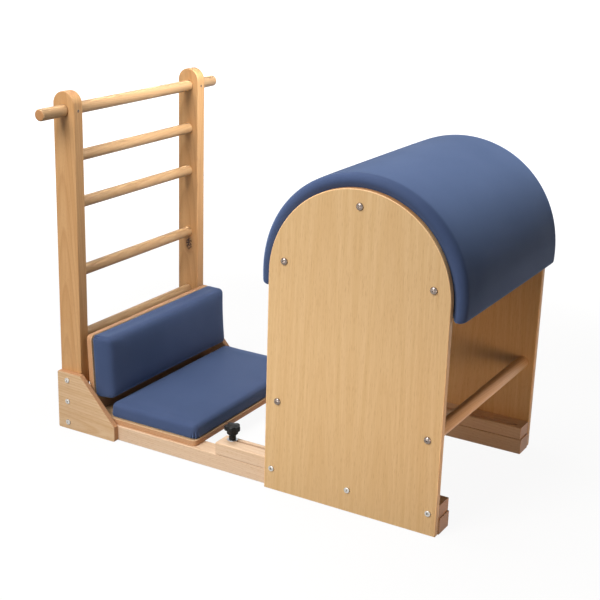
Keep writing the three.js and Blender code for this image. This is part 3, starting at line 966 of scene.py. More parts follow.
    def sharp(self, axis: Axis | None = None) -> list[bmesh.types.BMEdge]:
        """Finds the sharp edges.

        Args:
            axis: only those that run along this axis, where it is given.

        Returns:
            The edges.
        """
        found = [edge for edge in self.mesh.edges if edge.calc_face_angle(0.0) > SHARP]
        if axis is None:
            return found
        runs = [(edge, (edge.verts[0].co - edge.verts[1].co).normalized()) for edge in found]
        return [edge for edge, run in runs if abs(run.dot(axis.unit)) > 0.999]

    def round(self, edges: list[bmesh.types.BMEdge], width: float, segments: int = 3) -> "Form":
        """Rounds edges over.

        Args:
            edges: what to round.
            width: the radius.
            segments: facets across the rounding.

        Returns:
            The form.
        """
        bmesh.ops.bevel(
            self.mesh, geom=edges, offset=width, offset_type="OFFSET", segments=segments, profile=0.5,
            affect="EDGES", clamp_overlap=False, material=-1,
        )
        bmesh.ops.remove_doubles(self.mesh, verts=self.mesh.verts, dist=SAME)
        return self

    def slice(self, axis: Axis, places: Iterable[float]) -> "Form":
        """Cuts lines across the faces without parting them.

        Args:
            axis: square to the cuts.
            places: where they lie along the axis.

        Returns:
            The form.
        """
        for place in places:
            geometry = [*self.mesh.verts, *self.mesh.edges, *self.mesh.faces]
            bmesh.ops.bisect_plane(
                self.mesh, geom=geometry, dist=SAME, plane_co=axis.unit * place, plane_no=axis.unit
            )
        return self

    def moved(self, matrix: Matrix) -> "Form":
        """Moves and turns the form."""
        bmesh.ops.transform(self.mesh, matrix=matrix, verts=self.mesh.verts)
        return self

    def combine(self, tool: "Form", joining: Joining = Joining.CUT) -> "Form":
        """Cuts a tool's shape away, or joins it on.

        Args:
            tool: the other form, which is used up.
            joining: which of the two.

        Returns:
            The form.
        """
        body, other = self.thing("body_to_cut"), tool.thing("cutting_tool")
        boolean = body.modifiers.new("cut", "BOOLEAN")
        boolean.operation, boolean.solver, boolean.object = joining.value, "EXACT", other
        made = bpy.data.meshes.new_from_object(body.evaluated_get(bpy.context.evaluated_depsgraph_get()))
        self.mesh = bmesh.new()
        self.mesh.from_mesh(made)
        for item in (body, other):
            data = item.data
            bpy.data.objects.remove(item)
            bpy.data.meshes.remove(data)
        bpy.data.meshes.remove(made)
        bmesh.ops.remove_doubles(self.mesh, verts=self.mesh.verts, dist=SAME)
        return self

    def bored(self, holes: Iterable[Hole], sides: int = 24) -> "Form":
        """Bores round holes.

        Args:
            holes: radius, start and end of each.
            sides: facets round a hole.

        Returns:
            The form.
        """
        tool = Form()
        for radius, start, end in holes:
            tool.rod(radius, start, end, sides)
        return self.combine(tool)

    def thing(self, name: str) -> bpy.types.Object:
        """Makes an object of the form, which is used up.

        Args:
            name: the object's name.

        Returns:
            The object.
        """
        mesh = bpy.data.meshes.new(name)
        self.mesh.to_mesh(mesh)
        self.mesh.free()
        made = bpy.data.objects.new(name, mesh)
        bpy.context.scene.collection.objects.link(made)
        return made


class Shop:
    """Makes finished forms into pieces that ride on the frame's bodies."""

    def __init__(self) -> None:
        """Starts with no pieces."""
        self.count = 0

    def piece(self, name: str, form: Form, material: bpy.types.Material, body: str,
              nodes: Sequence[str] = (), flat: bool = True) -> bpy.types.Object:
        """Finishes a rigid piece.

        Args:
            name: the piece's name.
            form: its shape.
            material: its finish.
            body: what it rides on.
            nodes: the CAD nodes that it stands for.
            flat: whether its faces are mostly flat, so that they shade flat up to their rounding.

        Returns:
            The piece.
        """
        made = form.thing(name)
        made.data.shade_smooth()
        made.data.set_sharp_from_angle(angle=CREASE)
        if flat:
            weighted = made.modifiers.new("flat faces", "WEIGHTED_NORMAL")
            weighted.keep_sharp = True
        return self.dress(made, material, body, nodes)

    def dress(self, made: bpy.types.Object, material: bpy.types.Material, body: str,
              nodes: Sequence[str] = ()) -> bpy.types.Object:
        """Gives an object its finish and its body.

        Args:
            made: the object.
            material: its finish.
            body: what it rides on.
            nodes: the CAD nodes that it stands for.

        Returns:
            The object.
        """
        made.data.materials.clear()
        made.data.materials.append(material)
        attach(made, body)
        if nodes:
            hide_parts(*nodes)
        self.count += 1
        log.info("%3d %-22s %6d faces on %s", self.count, made.name, len(made.data.polygons), body)
        return made

    def refinish(self, node: str, material: bpy.types.Material) -> None:
        """Gives a CAD node that stays a better finish.

        Args:
            node: the node's name.
            material: its finish.
        """
        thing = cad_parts[node]
        thing.data.materials.clear()
        thing.data.materials.append(material)
        log.info("    %-22s keeps its shape", node)


@dataclass
class Padding:
    """Swells a cover as its foam does, by a short cloth simulation.

    Attributes:
        pressure: of the foam against the cover.
        frames: steps of the simulation.
        most: the furthest that a point may move.
        calming: how often each move is evened out with its neighbours, as thick vinyl does.
    """

    pressure: float = 4.0
    frames: int = 20
    most: float = 0.0025
    calming: int = 12

    def swell(self, thing: bpy.types.Object, hold: Callable[[Vector], float]) -> None:
        """Swells a closed cover.

        Args:
            thing: the cover.
            hold: tells how firmly a point is held, from 0 to 1 where it is stapled down.
        """
        mesh = thing.data
        held = np.array([hold(vert.co) for vert in mesh.vertices])
        group = thing.vertex_groups.new(name="stapled")
        group.add([int(i) for i in np.flatnonzero(held >= 1.0)], 1.0, "REPLACE")
        cloth = thing.modifiers.new("cover", "CLOTH")
        cloth.settings.use_pressure = True
        cloth.settings.uniform_pressure_force = self.pressure
        cloth.settings.vertex_group_mass = group.name
        cloth.settings.effector_weights.gravity = 0.0
        cloth.point_cache.frame_start, cloth.point_cache.frame_end = 1, self.frames
        scene = bpy.context.scene
        for number in range(1, self.frames + 1):
            scene.frame_set(number)
        before = self._places(mesh)
        after = self._places(thing.evaluated_get(bpy.context.evaluated_depsgraph_get()).data)
        thing.modifiers.remove(cloth)
        scene.frame_set(1)
        moves = after - before
        length = np.linalg.norm(moves, axis=1, keepdims=True)
        moves *= np.minimum(1.0, self.most / np.maximum(length, NOTHING)) * (1.0 - held)[:, None]
        mesh.vertices.foreach_set("co", (before + self._calmed(mesh, moves)).ravel())
        mesh.update()
        thing.vertex_groups.clear()

    @staticmethod
    def _places(mesh: bpy.types.Mesh) -> np.ndarray:
        """Reads where a mesh's points are.

        Args:
            mesh: the mesh.

        Returns:
            A row for each point.
        """
        places = np.empty(len(mesh.vertices) * 3)
        mesh.vertices.foreach_get("co", places)
        return places.reshape(-1, 3)

    def _calmed(self, mesh: bpy.types.Mesh, moves: np.ndarray) -> np.ndarray:
        """Evens moves out between neighbouring points.

        Args:
            mesh: tells which points are neighbours.
            moves: of each point.

        Returns:
            The evened moves.
        """
        ends = np.empty(len(mesh.edges) * 2, dtype=np.int64)
        mesh.edges.foreach_get("vertices", ends)
        first, second = ends.reshape(-1, 2).T
        share = np.ones((len(moves), 1))
        np.add.at(share, first, 1.0)
        np.add.at(share, second, 1.0)
        for _ in range(self.calming):
            total = moves.copy()
            np.add.at(total, first, moves[second])
            np.add.at(total, second, moves[first])
            moves = total / share
        return moves


def ramp(value: float, low: float, high: float) -> float:
    """Rises smoothly from 0 to 1 as a value goes from low to high."""
    share = min(1.0, max(0.0, (value - low) / (high - low)))
    return share * share * (3 - 2 * share)


def applied(thing: bpy.types.Object) -> None:
    """Applies an object's modifiers to its mesh.

    Args:
        thing: the object.
    """
    made = bpy.data.meshes.new_from_object(thing.evaluated_get(bpy.context.evaluated_depsgraph_get()))
    thing.modifiers.clear()
    old, thing.data = thing.data, made
    bpy.data.meshes.remove(old)


def subdivided(thing: bpy.types.Object) -> None:
    """Puts one level of subdivision on an object."""
    finer = thing.modifiers.new("finer", "SUBSURF")
    finer.levels = finer.render_levels = 1


def level(edge: bmesh.types.BMEdge) -> bool:
    """Tells whether an edge keeps its Y."""
    first, second = edge.verts
    return abs(first.co.y - second.co.y) < SAME


def round_rod(box: Box, ease: float, segments: int = 2) -> Form:
    """Makes a round rod that fills a box along Y.

    Args:
        box: what it fills.
        ease: radius of its ends' rounding.
        segments: facets across the rounding.

    Returns:
        The form.
    """
    x, _, z = box.middle
    form = Form().rod(box.half(Axis.Z), (x, box.low.y, z), (x, box.high.y, z), 64)
    return form.round(form.sharp(), ease, segments)


def hole_along_y(node: str, radius: float, start: float, end: float) -> Hole:
    """Plans a hole for a bolt or a rod.

    Args:
        node: the CAD node of what goes through the hole.
        radius: of the hole.
        start: Y of the hole's one end.
        end: Y of its other end.

    Returns:
        The hole.
    """
    x, _, z = Box.of(node).middle
    return radius, (x, start, z), (x, end, z)


# Fixings


@dataclass
class Bolts:
    """The bolts that show: domed ones, socket heads and the handle bar's pin screws."""

    metal: bpy.types.Material
    bright: bpy.types.Material
    shank_radius: float = 0.004
    edge_break: float = 0.0003
    dome_radius: float = 0.0095
    dome_height: float = 0.0065
    dome_rim: float = 0.0012
    dome_steps: int = 10
    dome_key_share: float = 0.72
    dome_key_depth: float = 0.0022
    head_radius: float = 0.008
    head_height: float = 0.004
    chamfer: float = 0.0011
    key_sides: int = 6
    key_radius: float = 0.0036
    key_depth: float = 0.0052
    key_overrun: float = 0.02
    screw_radius: float = 0.0038
    screw_length: float = 0.012
    cross_long: float = 0.55
    cross_wide: float = 0.13
    cross_depth: float = 0.0008

    def dome(self, shop: Shop, name: str, node: str, body: str, side: Side) -> None:
        """Makes a domed bolt in place of its node.

        Args:
            shop: makes the piece.
            name: the piece's name.
            node: the CAD node.
            body: what it rides on.
            side: the side that its head faces.
        """
        start, along, shank = self._seat(node, side, self.dome_height)
        rim, rise, radius = self.dome_rim, self.dome_height - self.dome_rim, self.dome_radius
        turns = [math.radians(90 / self.dome_steps * i) for i in range(1, self.dome_steps)]
        dome = [(radius * math.cos(turn), rim + rise * math.sin(turn)) for turn in turns]
        profile = [*self._shank(shank, radius), (radius, rim), *dome, (0, self.dome_height)]
        form = Form().turned(profile, start, along)
        foot, end = start + along * (self.dome_height - self.dome_key_depth), start + along * self.key_overrun
        key = Form().rod(self.key_radius * self.dome_key_share, foot, end, self.key_sides)
        shop.piece(name, form.combine(key), self.metal, body, [node], flat=False)

    def socket(self, shop: Shop, name: str, node: str, body: str, side: Side) -> None:
        """Makes a socket-head bolt in place of its node.

        Args:
            shop: makes the piece.
            name: the piece's name.
            node: the CAD node.
            body: what it rides on.
            side: the side that its head faces.
        """
        start, along, shank = self._seat(node, side, self.head_height)
        top, radius, edge = self.head_height, self.head_radius, self.chamfer
        profile = [
            *self._shank(shank, radius), (radius, top - edge * 1.6), (radius - edge * 0.4, top - edge * 0.6),
            (radius - edge * 1.4, top - edge * 0.1), (radius - edge * 2.2, top), (0, top),
        ]
        form = Form().turned(profile, start, along)
        foot, end = start + along * (top - self.key_depth), start + along * self.key_overrun
        key = Form().rod(self.key_radius, foot, end, self.key_sides)
        shop.piece(name, form.combine(key), self.bright, body, [node], flat=False)

    def _seat(self, node: str, side: Side, height: float) -> tuple[Vector, Vector, float]:
        """Finds where a bolt's head sits.

        Args:
            node: the CAD node.
            side: the side that its head faces.
            height: of the head.

        Returns:
            The middle of the head's seat, the bolt's direction and its length below the seat.
        """
        box = Box.of(node)
        seat = Vector((box.middle.x, box.outer(side) - side.value * height, box.middle.z))
        return seat, Vector((0, side.value, 0)), box.high.y - box.low.y - height

    def _shank(self, length: float, radius: float) -> list[tuple[float, float]]:
        """Outlines a bolt from the shank's end to the edge of its head.

        Args:
            length: of the shank.
            radius: of the head.

        Returns:
            Radius and height of each point.
        """
        return [(0, -length), (self.shank_radius, -length), (self.shank_radius, 0),
                (radius - self.edge_break, 0), (radius, self.edge_break)]

    def screw(self, shop: Shop, name: str, place: Sequence[float]) -> None:
        """Makes a small cross-head screw that faces +X.

        Args:
            shop: makes the piece.
            name: the piece's name.
            place: the middle of its head on the wood.
        """
        radius, length, start = self.screw_radius, self.screw_length, Vector(place)
        profile = [(0, -length), (radius * 0.5, -length), (radius * 0.5, -0.0022), (radius, -0.0002),
                   (radius, 0.0003), (radius * 0.8, 0.0008), (radius * 0.4, 0.0011), (0, 0.0012)]
        form = Form().turned(profile, start, Axis.X.unit, steps=32)
        for wide, tall in ((self.cross_long, self.cross_wide), (self.cross_wide, self.cross_long)):
            low = start + Vector((-self.cross_depth, -radius * wide, -radius * tall))
            high = start + Vector((0.003, radius * wide, radius * tall))
            form.combine(Form().block(low, high))
        shop.piece(name, form, self.metal, BASE, flat=False)


# Base frame


@dataclass
class FloorRails:
    """The two rails on the floor, with a socket for each clamp's insert."""

    wood: Beech
    long_ease: float = 0.002
    end_ease: float = 0.0012

    def build(self, shop: Shop) -> None:
        """Makes both rails.

        Args:
            shop: makes the pieces.
        """
        for side in Side:
            node = f"base_rail_{side.label}"
            rail, insert = Box.of(node), Box.of(f"clamp_insert_{side.label}")
            form = Form().block(rail.low, rail.high)
            form.round(form.sharp(Axis.X), self.long_ease).round(form.sharp(), self.end_ease)
            x, y, _ = insert.middle
            face = rail.outer(side)
            ends = (face - side.value * BOLT_REACH, face * 1.1)
            form.bored([
                (insert.half(Axis.X) + GAP, (x, y, insert.low.z), (x, y, rail.high.z + OVERRUN)),
                hole_along_y(f"gusset_bolt_{side.label}_1", BOLT_HOLE, *ends),
            ])
            cut = Cut(Axis.X, (y + 0.045 * side.value, -0.06), shift=0.37 * side.value)
            material = self.wood.material(f"beech_floor_rail_{side.label}", cut)
            shop.piece(f"floor_rail_{side.label}", form, material, BASE, [node])


@dataclass
class Ladder:
    """Two posts with round tops, the handle bar through them, and four rungs between them."""

    wood: Beech
    # beech of the bar and rungs, darker than the posts' beech: painted shade that holds down the light on the
    # high bar
    round_wood: Beech
    bolts: Bolts
    edge_ease: float = 0.0024
    hole_ease: float = 0.001
    hole_sides: int = 48
    bar_end_round: float = 0.005
    rung_end_round: float = 0.0015
    knot_inset: float = 0.032
    knot_height: float = 0.427
    rungs: int = 4
    plate_bolts: tuple[int, int] = (2, 3)

    def build(self, shop: Shop) -> None:
        """Makes the posts, the bar, the rungs and the pin screws.

        Args:
            shop: makes the pieces.
        """
        for side in Side:
            self._post(shop, side)
        self._bar(shop)
        for number in range(1, self.rungs + 1):
            self._rung(shop, number)

    def _post(self, shop: Shop, side: Side) -> None:
        """Makes a post and the screw that pins the bar in it.

        Args:
            shop: makes the pieces.
            side: which post.
        """
        node = f"ladder_post_{side.label}"
        post, bar = Box.of(node), Box.of("handle_bar")
        form = Form().block(post.low, post.high)
        tops = [edge for edge in form.sharp(Axis.Y) if edge.verts[0].co.z > post.middle.z]
        form.round(tops, post.half(Axis.X) - 0.0002, 24).round(form.sharp(), self.edge_ease, 4)
        radius = bar.half(Axis.Z) + GAP
        ends = (post.low.y - OVERRUN, post.high.y + OVERRUN)
        form.bored([hole_along_y("handle_bar", radius, *ends)], self.hole_sides)
        x, _, z = bar.middle
        faces = (post.low.y, post.high.y)
        rims = form.edges(lambda p: min(abs(p.y - face) for face in faces) < ON_FACE
                          and abs(math.hypot(p.x - x, p.z - z) - radius) < CLOSE)
        form.round(rims, self.hole_ease, 2)
        form.bored(self._sockets(side, post) + self._bolt_holes(side, post), self.hole_sides)
        cut = Cut(Axis.Z, (post.middle.x - 0.012, post.middle.y + 0.06 * side.value), shift=0.21 * side.value)
        if side is Side.LEFT:
            cut = replace(cut, knot=(post.high.x - self.knot_inset, post.low.y, self.knot_height))
        material = self.wood.material(f"beech_post_{side.label}", cut)
        shop.piece(f"post_{side.label}", form, material, BASE, [node])
        self.bolts.screw(shop, f"pin_screw_{side.label}", (post.high.x, post.middle.y, z))

    def _sockets(self, side: Side, post: Box) -> list[Hole]:
        """Finds the rungs' blind sockets in a post.

        Args:
            side: which post.
            post: its box.

        Returns:
            The holes to bore.
        """
        holes = []
        for number in range(1, self.rungs + 1):
            node = f"ladder_rung_{number}"
            rung = Box.of(node)
            ends = (post.inner(side) - side.value * OVERRUN, side.value * (rung.high.y + GAP))
            holes.append(hole_along_y(node, rung.half(Axis.Z) + GAP, *ends))
        return holes

    def _bolt_holes(self, side: Side, post: Box) -> list[Hole]:
        """Finds the holes for the bolts that come through the corner plate.

        Args:
            side: which post.
            post: its box.

        Returns:
            The holes to bore.
        """
        face = post.outer(side)
        ends = (face + side.value * OVERRUN, face - side.value * BOLT_REACH)
        return [hole_along_y(f"gusset_bolt_{side.label}_{number}", BOLT_HOLE, *ends)
                for number in self.plate_bolts]

    def _bar(self, shop: Shop) -> None:
        """Makes the handle bar with its rounded ends.

        Args:
            shop: makes the pieces.
        """
        bar = Box.of("handle_bar")
        cut = Cut(Axis.Y, (bar.middle.x + 0.03, bar.middle.z - 0.02), shift=0.4)
        material = self.round_wood.material("beech_handle_bar", cut)
        form = round_rod(bar, self.bar_end_round, 6)
        shop.piece("grab_bar", form, material, BASE, ["handle_bar"], flat=False)

    def _rung(self, shop: Shop, number: int) -> None:
        """Makes a rung.

        Args:
            shop: makes the piece.
            number: counted from the top.
        """
        node = f"ladder_rung_{number}"
        rung = Box.of(node)
        heart = (rung.middle.x - 0.02 - 0.011 * number, rung.middle.z + 0.035 - 0.019 * number)
        material = self.round_wood.material(f"beech_rung_{number}", Cut(Axis.Y, heart, shift=0.53 * number))
        form = round_rod(rung, self.rung_end_round)
        shop.piece(f"rung_{number}", form, material, BASE, [node], flat=False)


@dataclass
class CornerPlates:
    """The plywood plates that tie the posts to the floor rails, three bolts in each."""

    board: Plywood
    bolts: Bolts
    top_width: float = 0.082
    nose_height: float = 0.044
    corner_round: float = 0.004
    edge_ease: float = 0.0012
    bolt_count: int = 3

    def build(self, shop: Shop) -> None:
        """Makes both plates and their bolts.

        Args:
            shop: makes the pieces.
        """
        for side in Side:
            node = f"gusset_{side.label}"
            low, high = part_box(node)
            corners = [
                (low.x, low.z), (high.x, low.z), (high.x, low.z + self.nose_height),
                (low.x + self.top_width, high.z), (low.x, high.z),
            ]
            form = Form().plate(corners, low.y, high.y)
            form.round(form.sharp(Axis.Y), self.corner_round, 4).round(form.sharp(), self.edge_ease, 3)
            names = [f"gusset_bolt_{side.label}_{number + 1}" for number in range(self.bolt_count)]
            ends = (low.y - OVERRUN, high.y + OVERRUN)
            form.bored([hole_along_y(name, BOLT_HOLE, *ends) for name in names])
            cut = Cut(Axis.X, (low.y - 0.05, 0.02), shift=0.3 * side.value)
            material = self.board.material(f"plywood_corner_{side.label}", cut, Axis.Y.unit, low.y)
            shop.piece(f"corner_plate_{side.label}", form, material, BASE, [node])
            for number, name in enumerate(names, 1):
                self.bolts.socket(shop, f"plate_bolt_{side.label}_{number}", name, BASE, side)


# Seat and backrest


@dataclass(frozen=True)
class Pleat:
    """A fold in a cover, at a corner of its cushion.

    Attributes:
        corner: signs of the corner's length and width.
        turn: degrees from the corner's diagonal, towards its width.
        height: how far it runs up from the board.
        depth: how deep it is at the board.
        width: of the fold.
        lip: share of the depth by which the vinyl stands up beside the fold.
        lip_place: from the fold's middle to the lip's.
        lip_width: of the lip.
        reach: how far from the corner it is felt.
    """

    corner: tuple[int, int]
    turn: float
    height: float
    depth: float
    width: float = 0.0019
    lip: float = 0.4
    lip_place: float = 0.0042
    lip_width: float = 0.002
    reach: float = 0.06

    def press(self, arm: Vector, up: float) -> float:
        """Tells how far the pleat presses a point in.

        Args:
            arm: from the corner's centre to the point, level.
            up: the point's height.

        Returns:
            The length, less than 0 where the vinyl stands up.
        """
        if up > self.height or not CLOSE < arm.length <= self.reach:
            return 0.0
        turn = math.degrees(math.atan2(arm.y * self.corner[1], arm.x * self.corner[0])) - 45
        aside = math.radians(turn - self.turn) * arm.length
        fold = math.exp(-(aside / self.width) ** 2)
        lip = math.exp(-((abs(aside) - self.lip_place) / self.lip_width) ** 2)
        fade = (1 - max(0.0, up) / self.height) ** 0.7
        return self.depth * fade * (fold - self.lip * lip)


@dataclass
class Cushion:
    """Foam under vinyl, stapled round a board. It is made lying on z = 0 round the origin.

    Attributes:
        length: across X.
        width: across Y.
        height: above the board.
        corner_round: of its outline.
        edge_round: of its upper edge.
        draw_in: how far the long sides pull in between the corners.
        crown: how far the middle of the top stands up.
        slack: room that the swelling cover takes up on each side.
        foot_round: of its lower edge.
        smoothing: how often the even mesh is smoothed.
        held: heights up to which the cover is stapled, and from which it is free.
        voxel: mesh size of the cover.
        pleats: folds at its corners.
        pleat_room: how far past a corner's rounding the mesh is finer.
        padding: swells the cover.
    """

    length: float
    width: float
    height: float
    corner_round: float = 0.020
    edge_round: float = 0.012
    draw_in: float = 0.0012
    crown: float = 0.0018
    slack: float = 0.0006
    foot_round: float = 0.004
    smoothing: int = 3
    held: tuple[float, float] = (0.003, 0.022)
    voxel: float = 0.005
    pleats: Sequence[Pleat] = ()
    pleat_room: float = 0.016
    padding: Padding = field(default_factory=Padding)

    def made(self, name: str) -> bpy.types.Object:
        """Makes the cushion.

        Args:
            name: the object's name.

        Returns:
            The object, lying on z = 0.
        """
        half = Vector((self.length / 2 - self.slack, self.width / 2 - self.slack, 0))
        top = self.height - self.crown - self.slack
        form = Form().block(-half, half + Vector((0, 0, top)))
        form.round(form.sharp(Axis.Z), self.corner_round, 8)
        upper = [edge for edge in form.sharp() if edge.verts[0].co.z > top / 2]
        form.round(upper, self.edge_round, 8)
        form.round(form.sharp(), self.foot_round, 3)
        thing = form.thing(name)
        remesh = thing.modifiers.new("even mesh", "REMESH")
        remesh.mode, remesh.voxel_size = "VOXEL", self.voxel
        applied(thing)
        self._shape(thing.data)
        self.padding.swell(thing, lambda point: 1.0 - ramp(point.z, *self.held))
        subdivided(thing)
        applied(thing)
        self._fold(thing.data)
        thing.data.shade_smooth()
        return thing

    def _shape(self, mesh: bpy.types.Mesh) -> None:
        """Crowns the top and pulls the long sides in.

        Args:
            mesh: the even mesh.
        """
        work = bmesh.new()
        work.from_mesh(mesh)
        for _ in range(self.smoothing):
            bmesh.ops.smooth_vert(work, verts=work.verts, factor=0.5, use_axis_x=True, use_axis_y=True,
                                  use_axis_z=True)
        for vert in work.verts:
            x, y = vert.co.x / (self.length / 2), vert.co.y / (self.width / 2)
            up = max(0.0, vert.co.z / self.height)
            pull = 0.4 + 0.6 * up
            vert.co.x -= self.draw_in * x ** 3 * math.cos(y * math.pi / 2) * pull
            vert.co.y -= self.draw_in * y ** 3 * math.cos(x * math.pi / 2) * pull
            vert.co.z += self.crown * up * (1 - x ** 4) * (1 - y ** 4)
        work.to_mesh(mesh)
        work.free()

    def _fold(self, mesh: bpy.types.Mesh) -> None:
        """Presses the pleats into the cover, on a finer mesh round each corner.

        Args:
            mesh: the swollen mesh.
        """
        work = bmesh.new()
        work.from_mesh(mesh)
        reach = self.corner_round + self.pleat_room
        half = Vector((self.length / 2, self.width / 2, 0))
        near = [edge for edge in work.edges if all(
            abs(vert.co.x) > half.x - reach and abs(vert.co.y) > half.y - reach for vert in edge.verts)]
        bmesh.ops.subdivide_edges(work, edges=near, cuts=1, use_grid_fill=True, smooth=0.6)
        for pleat in self.pleats:
            sign_x, sign_y = pleat.corner
            x, y = sign_x * (half.x - self.corner_round), sign_y * (half.y - self.corner_round)
            for vert in work.verts:
                arm = Vector((vert.co.x - x, vert.co.y - y, 0))
                press = pleat.press(arm, vert.co.z)
                if press:
                    vert.co -= arm.normalized() * press
        work.to_mesh(mesh)
        work.free()


@dataclass
class Seat:
    """The seat: a plywood board across the floor rails with a cushion on it."""

    board: Plywood
    vinyl: bpy.types.Material
    corner_round: float = 0.016
    edge_ease: float = 0.0014
    swell_x: float = 0.003
    swell_z: float = 0.0016
    fill: float = 0.75
    pleats: Sequence[Pleat] = (
        Pleat((1, -1), -26, 0.020, 0.0046), Pleat((1, -1), 2, 0.024, 0.005), Pleat((1, -1), 30, 0.018, 0.004),
        Pleat((1, 1), -20, 0.018, 0.0022), Pleat((1, 1), 8, 0.021, 0.0024), Pleat((1, 1), 30, 0.014, 0.0018),
        Pleat((-1, -1), -14, 0.018, 0.0022), Pleat((-1, -1), 16, 0.016, 0.002),
        Pleat((-1, 1), -12, 0.017, 0.002), Pleat((-1, 1), 18, 0.018, 0.0022),
    )

    def build(self, shop: Shop) -> None:
        """Makes the board and its cushion.

        Args:
            shop: makes the pieces.
        """
        low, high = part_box("seat_board")
        form = Form().block(low, high)
        front = [edge for edge in form.sharp(Axis.Z) if edge.verts[0].co.x > (low.x + high.x) / 2]
        form.round(front, self.corner_round, 8).round(form.sharp(), self.edge_ease, 3)
        cut = Cut(Axis.Y, (low.x - 0.1, low.z - 0.05))
        material = self.board.material("plywood_seat", cut, Axis.Z.unit, low.z)
        shop.piece("seat_panel", form, material, BASE, ["seat_board"])
        low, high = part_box("seat_cover")
        x, y, z = high - low
        cushion = Cushion(x + self.swell_x, y, z + self.swell_z, pleats=self.pleats).made("seat_pad")
        cushion.data.transform(Matrix.Translation(((low.x + high.x) / 2, 0, low.z)))
        shop.dress(cushion, self.vinyl, BASE, ["seat_cover", "seat_foam"])


@dataclass
class Backrest:
    """The backrest: a rail between the posts, and a leaning board with a cushion on it."""

    wood: Beech
    board: Plywood
    vinyl: bpy.types.Material
    rake: float = math.radians(3)
    board_thickness: float = 0.016
    board_height: float = 0.232
    board_round: float = 0.014
    edge_ease: float = 0.0014
    rail_ease: float = 0.0015
    cushion_low: float = 0.044
    cushion_high: float = 0.2335
    cushion_depth: float = 0.066
    corner_round: float = 0.013
    edge_round: float = 0.016
    swell_y: float = 0.002
    fill: float = 0.75
    pleats: Sequence[Pleat] = (
        Pleat((-1, -1), -18, 0.024, 0.0056), Pleat((-1, -1), 16, 0.018, 0.004),
        Pleat((1, -1), -14, 0.018, 0.0026), Pleat((1, -1), 12, 0.016, 0.0024),
        Pleat((-1, 1), -14, 0.017, 0.0024), Pleat((-1, 1), 14, 0.015, 0.002),
        Pleat((1, 1), -12, 0.017, 0.0022), Pleat((1, 1), 16, 0.015, 0.002),
    )

    def build(self, shop: Shop) -> None:
        """Makes the rail, the board and its cushion.

        Args:
            shop: makes the pieces.
        """
        self._rail(shop)
        board_low, board_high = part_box("back_board")
        pivot = Vector((board_high.x - self.board_thickness * math.cos(self.rake), 0, board_low.z))
        lean = Matrix.Translation(pivot) @ Matrix.Rotation(-self.rake, 4, "Y")
        half = board_high.y
        form = Form().block((0, -half, 0), (self.board_thickness, half, self.board_height))
        form.round(form.sharp(Axis.X), self.board_round, 8).round(form.sharp(), self.edge_ease, 3).moved(lean)
        across = lean.to_3x3() @ Axis.X.unit
        cut = Cut(Axis.Y, (pivot.x - 0.05, pivot.z + 0.02), shift=0.8)
        material = self.board.material("plywood_back", cut, across, across.dot(pivot))
        shop.piece("back_panel", form, material, BASE, ["back_board"])
        low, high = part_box("back_cover")
        size = (self.cushion_high - self.cushion_low, high.y - low.y + self.swell_y, self.cushion_depth)
        cushion = Cushion(*size, self.corner_round, self.edge_round, pleats=self.pleats).made("back_pad")
        middle = (self.cushion_low + self.cushion_high) / 2
        seat = Matrix.Translation((self.board_thickness + GAP, 0, middle))
        cushion.data.transform(lean @ seat @ Matrix.Rotation(math.pi / 2, 4, "Y"))
        shop.dress(cushion, self.vinyl, BASE, ["back_cover", "back_foam"])

    def _rail(self, shop: Shop) -> None:
        """Makes the rail that carries the board, planed to its rake.

        Args:
            shop: makes the pieces.
        """
        low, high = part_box("back_rail")
        slope = math.tan(self.rake) * (high.z - low.z)
        corners = [(low.x, low.z), (high.x, low.z), (high.x - slope, high.z), (low.x, high.z)]
        form = Form().plate(corners, low.y, high.y)
        form.round(form.sharp(), self.rail_ease, 3)
        material = self.wood.material("beech_back_rail", Cut(Axis.Y, (low.x - 0.04, low.z - 0.02), shift=1.3))
        shop.piece("cross_rail", form, material, BASE, ["back_rail"])


# Barrel carriage


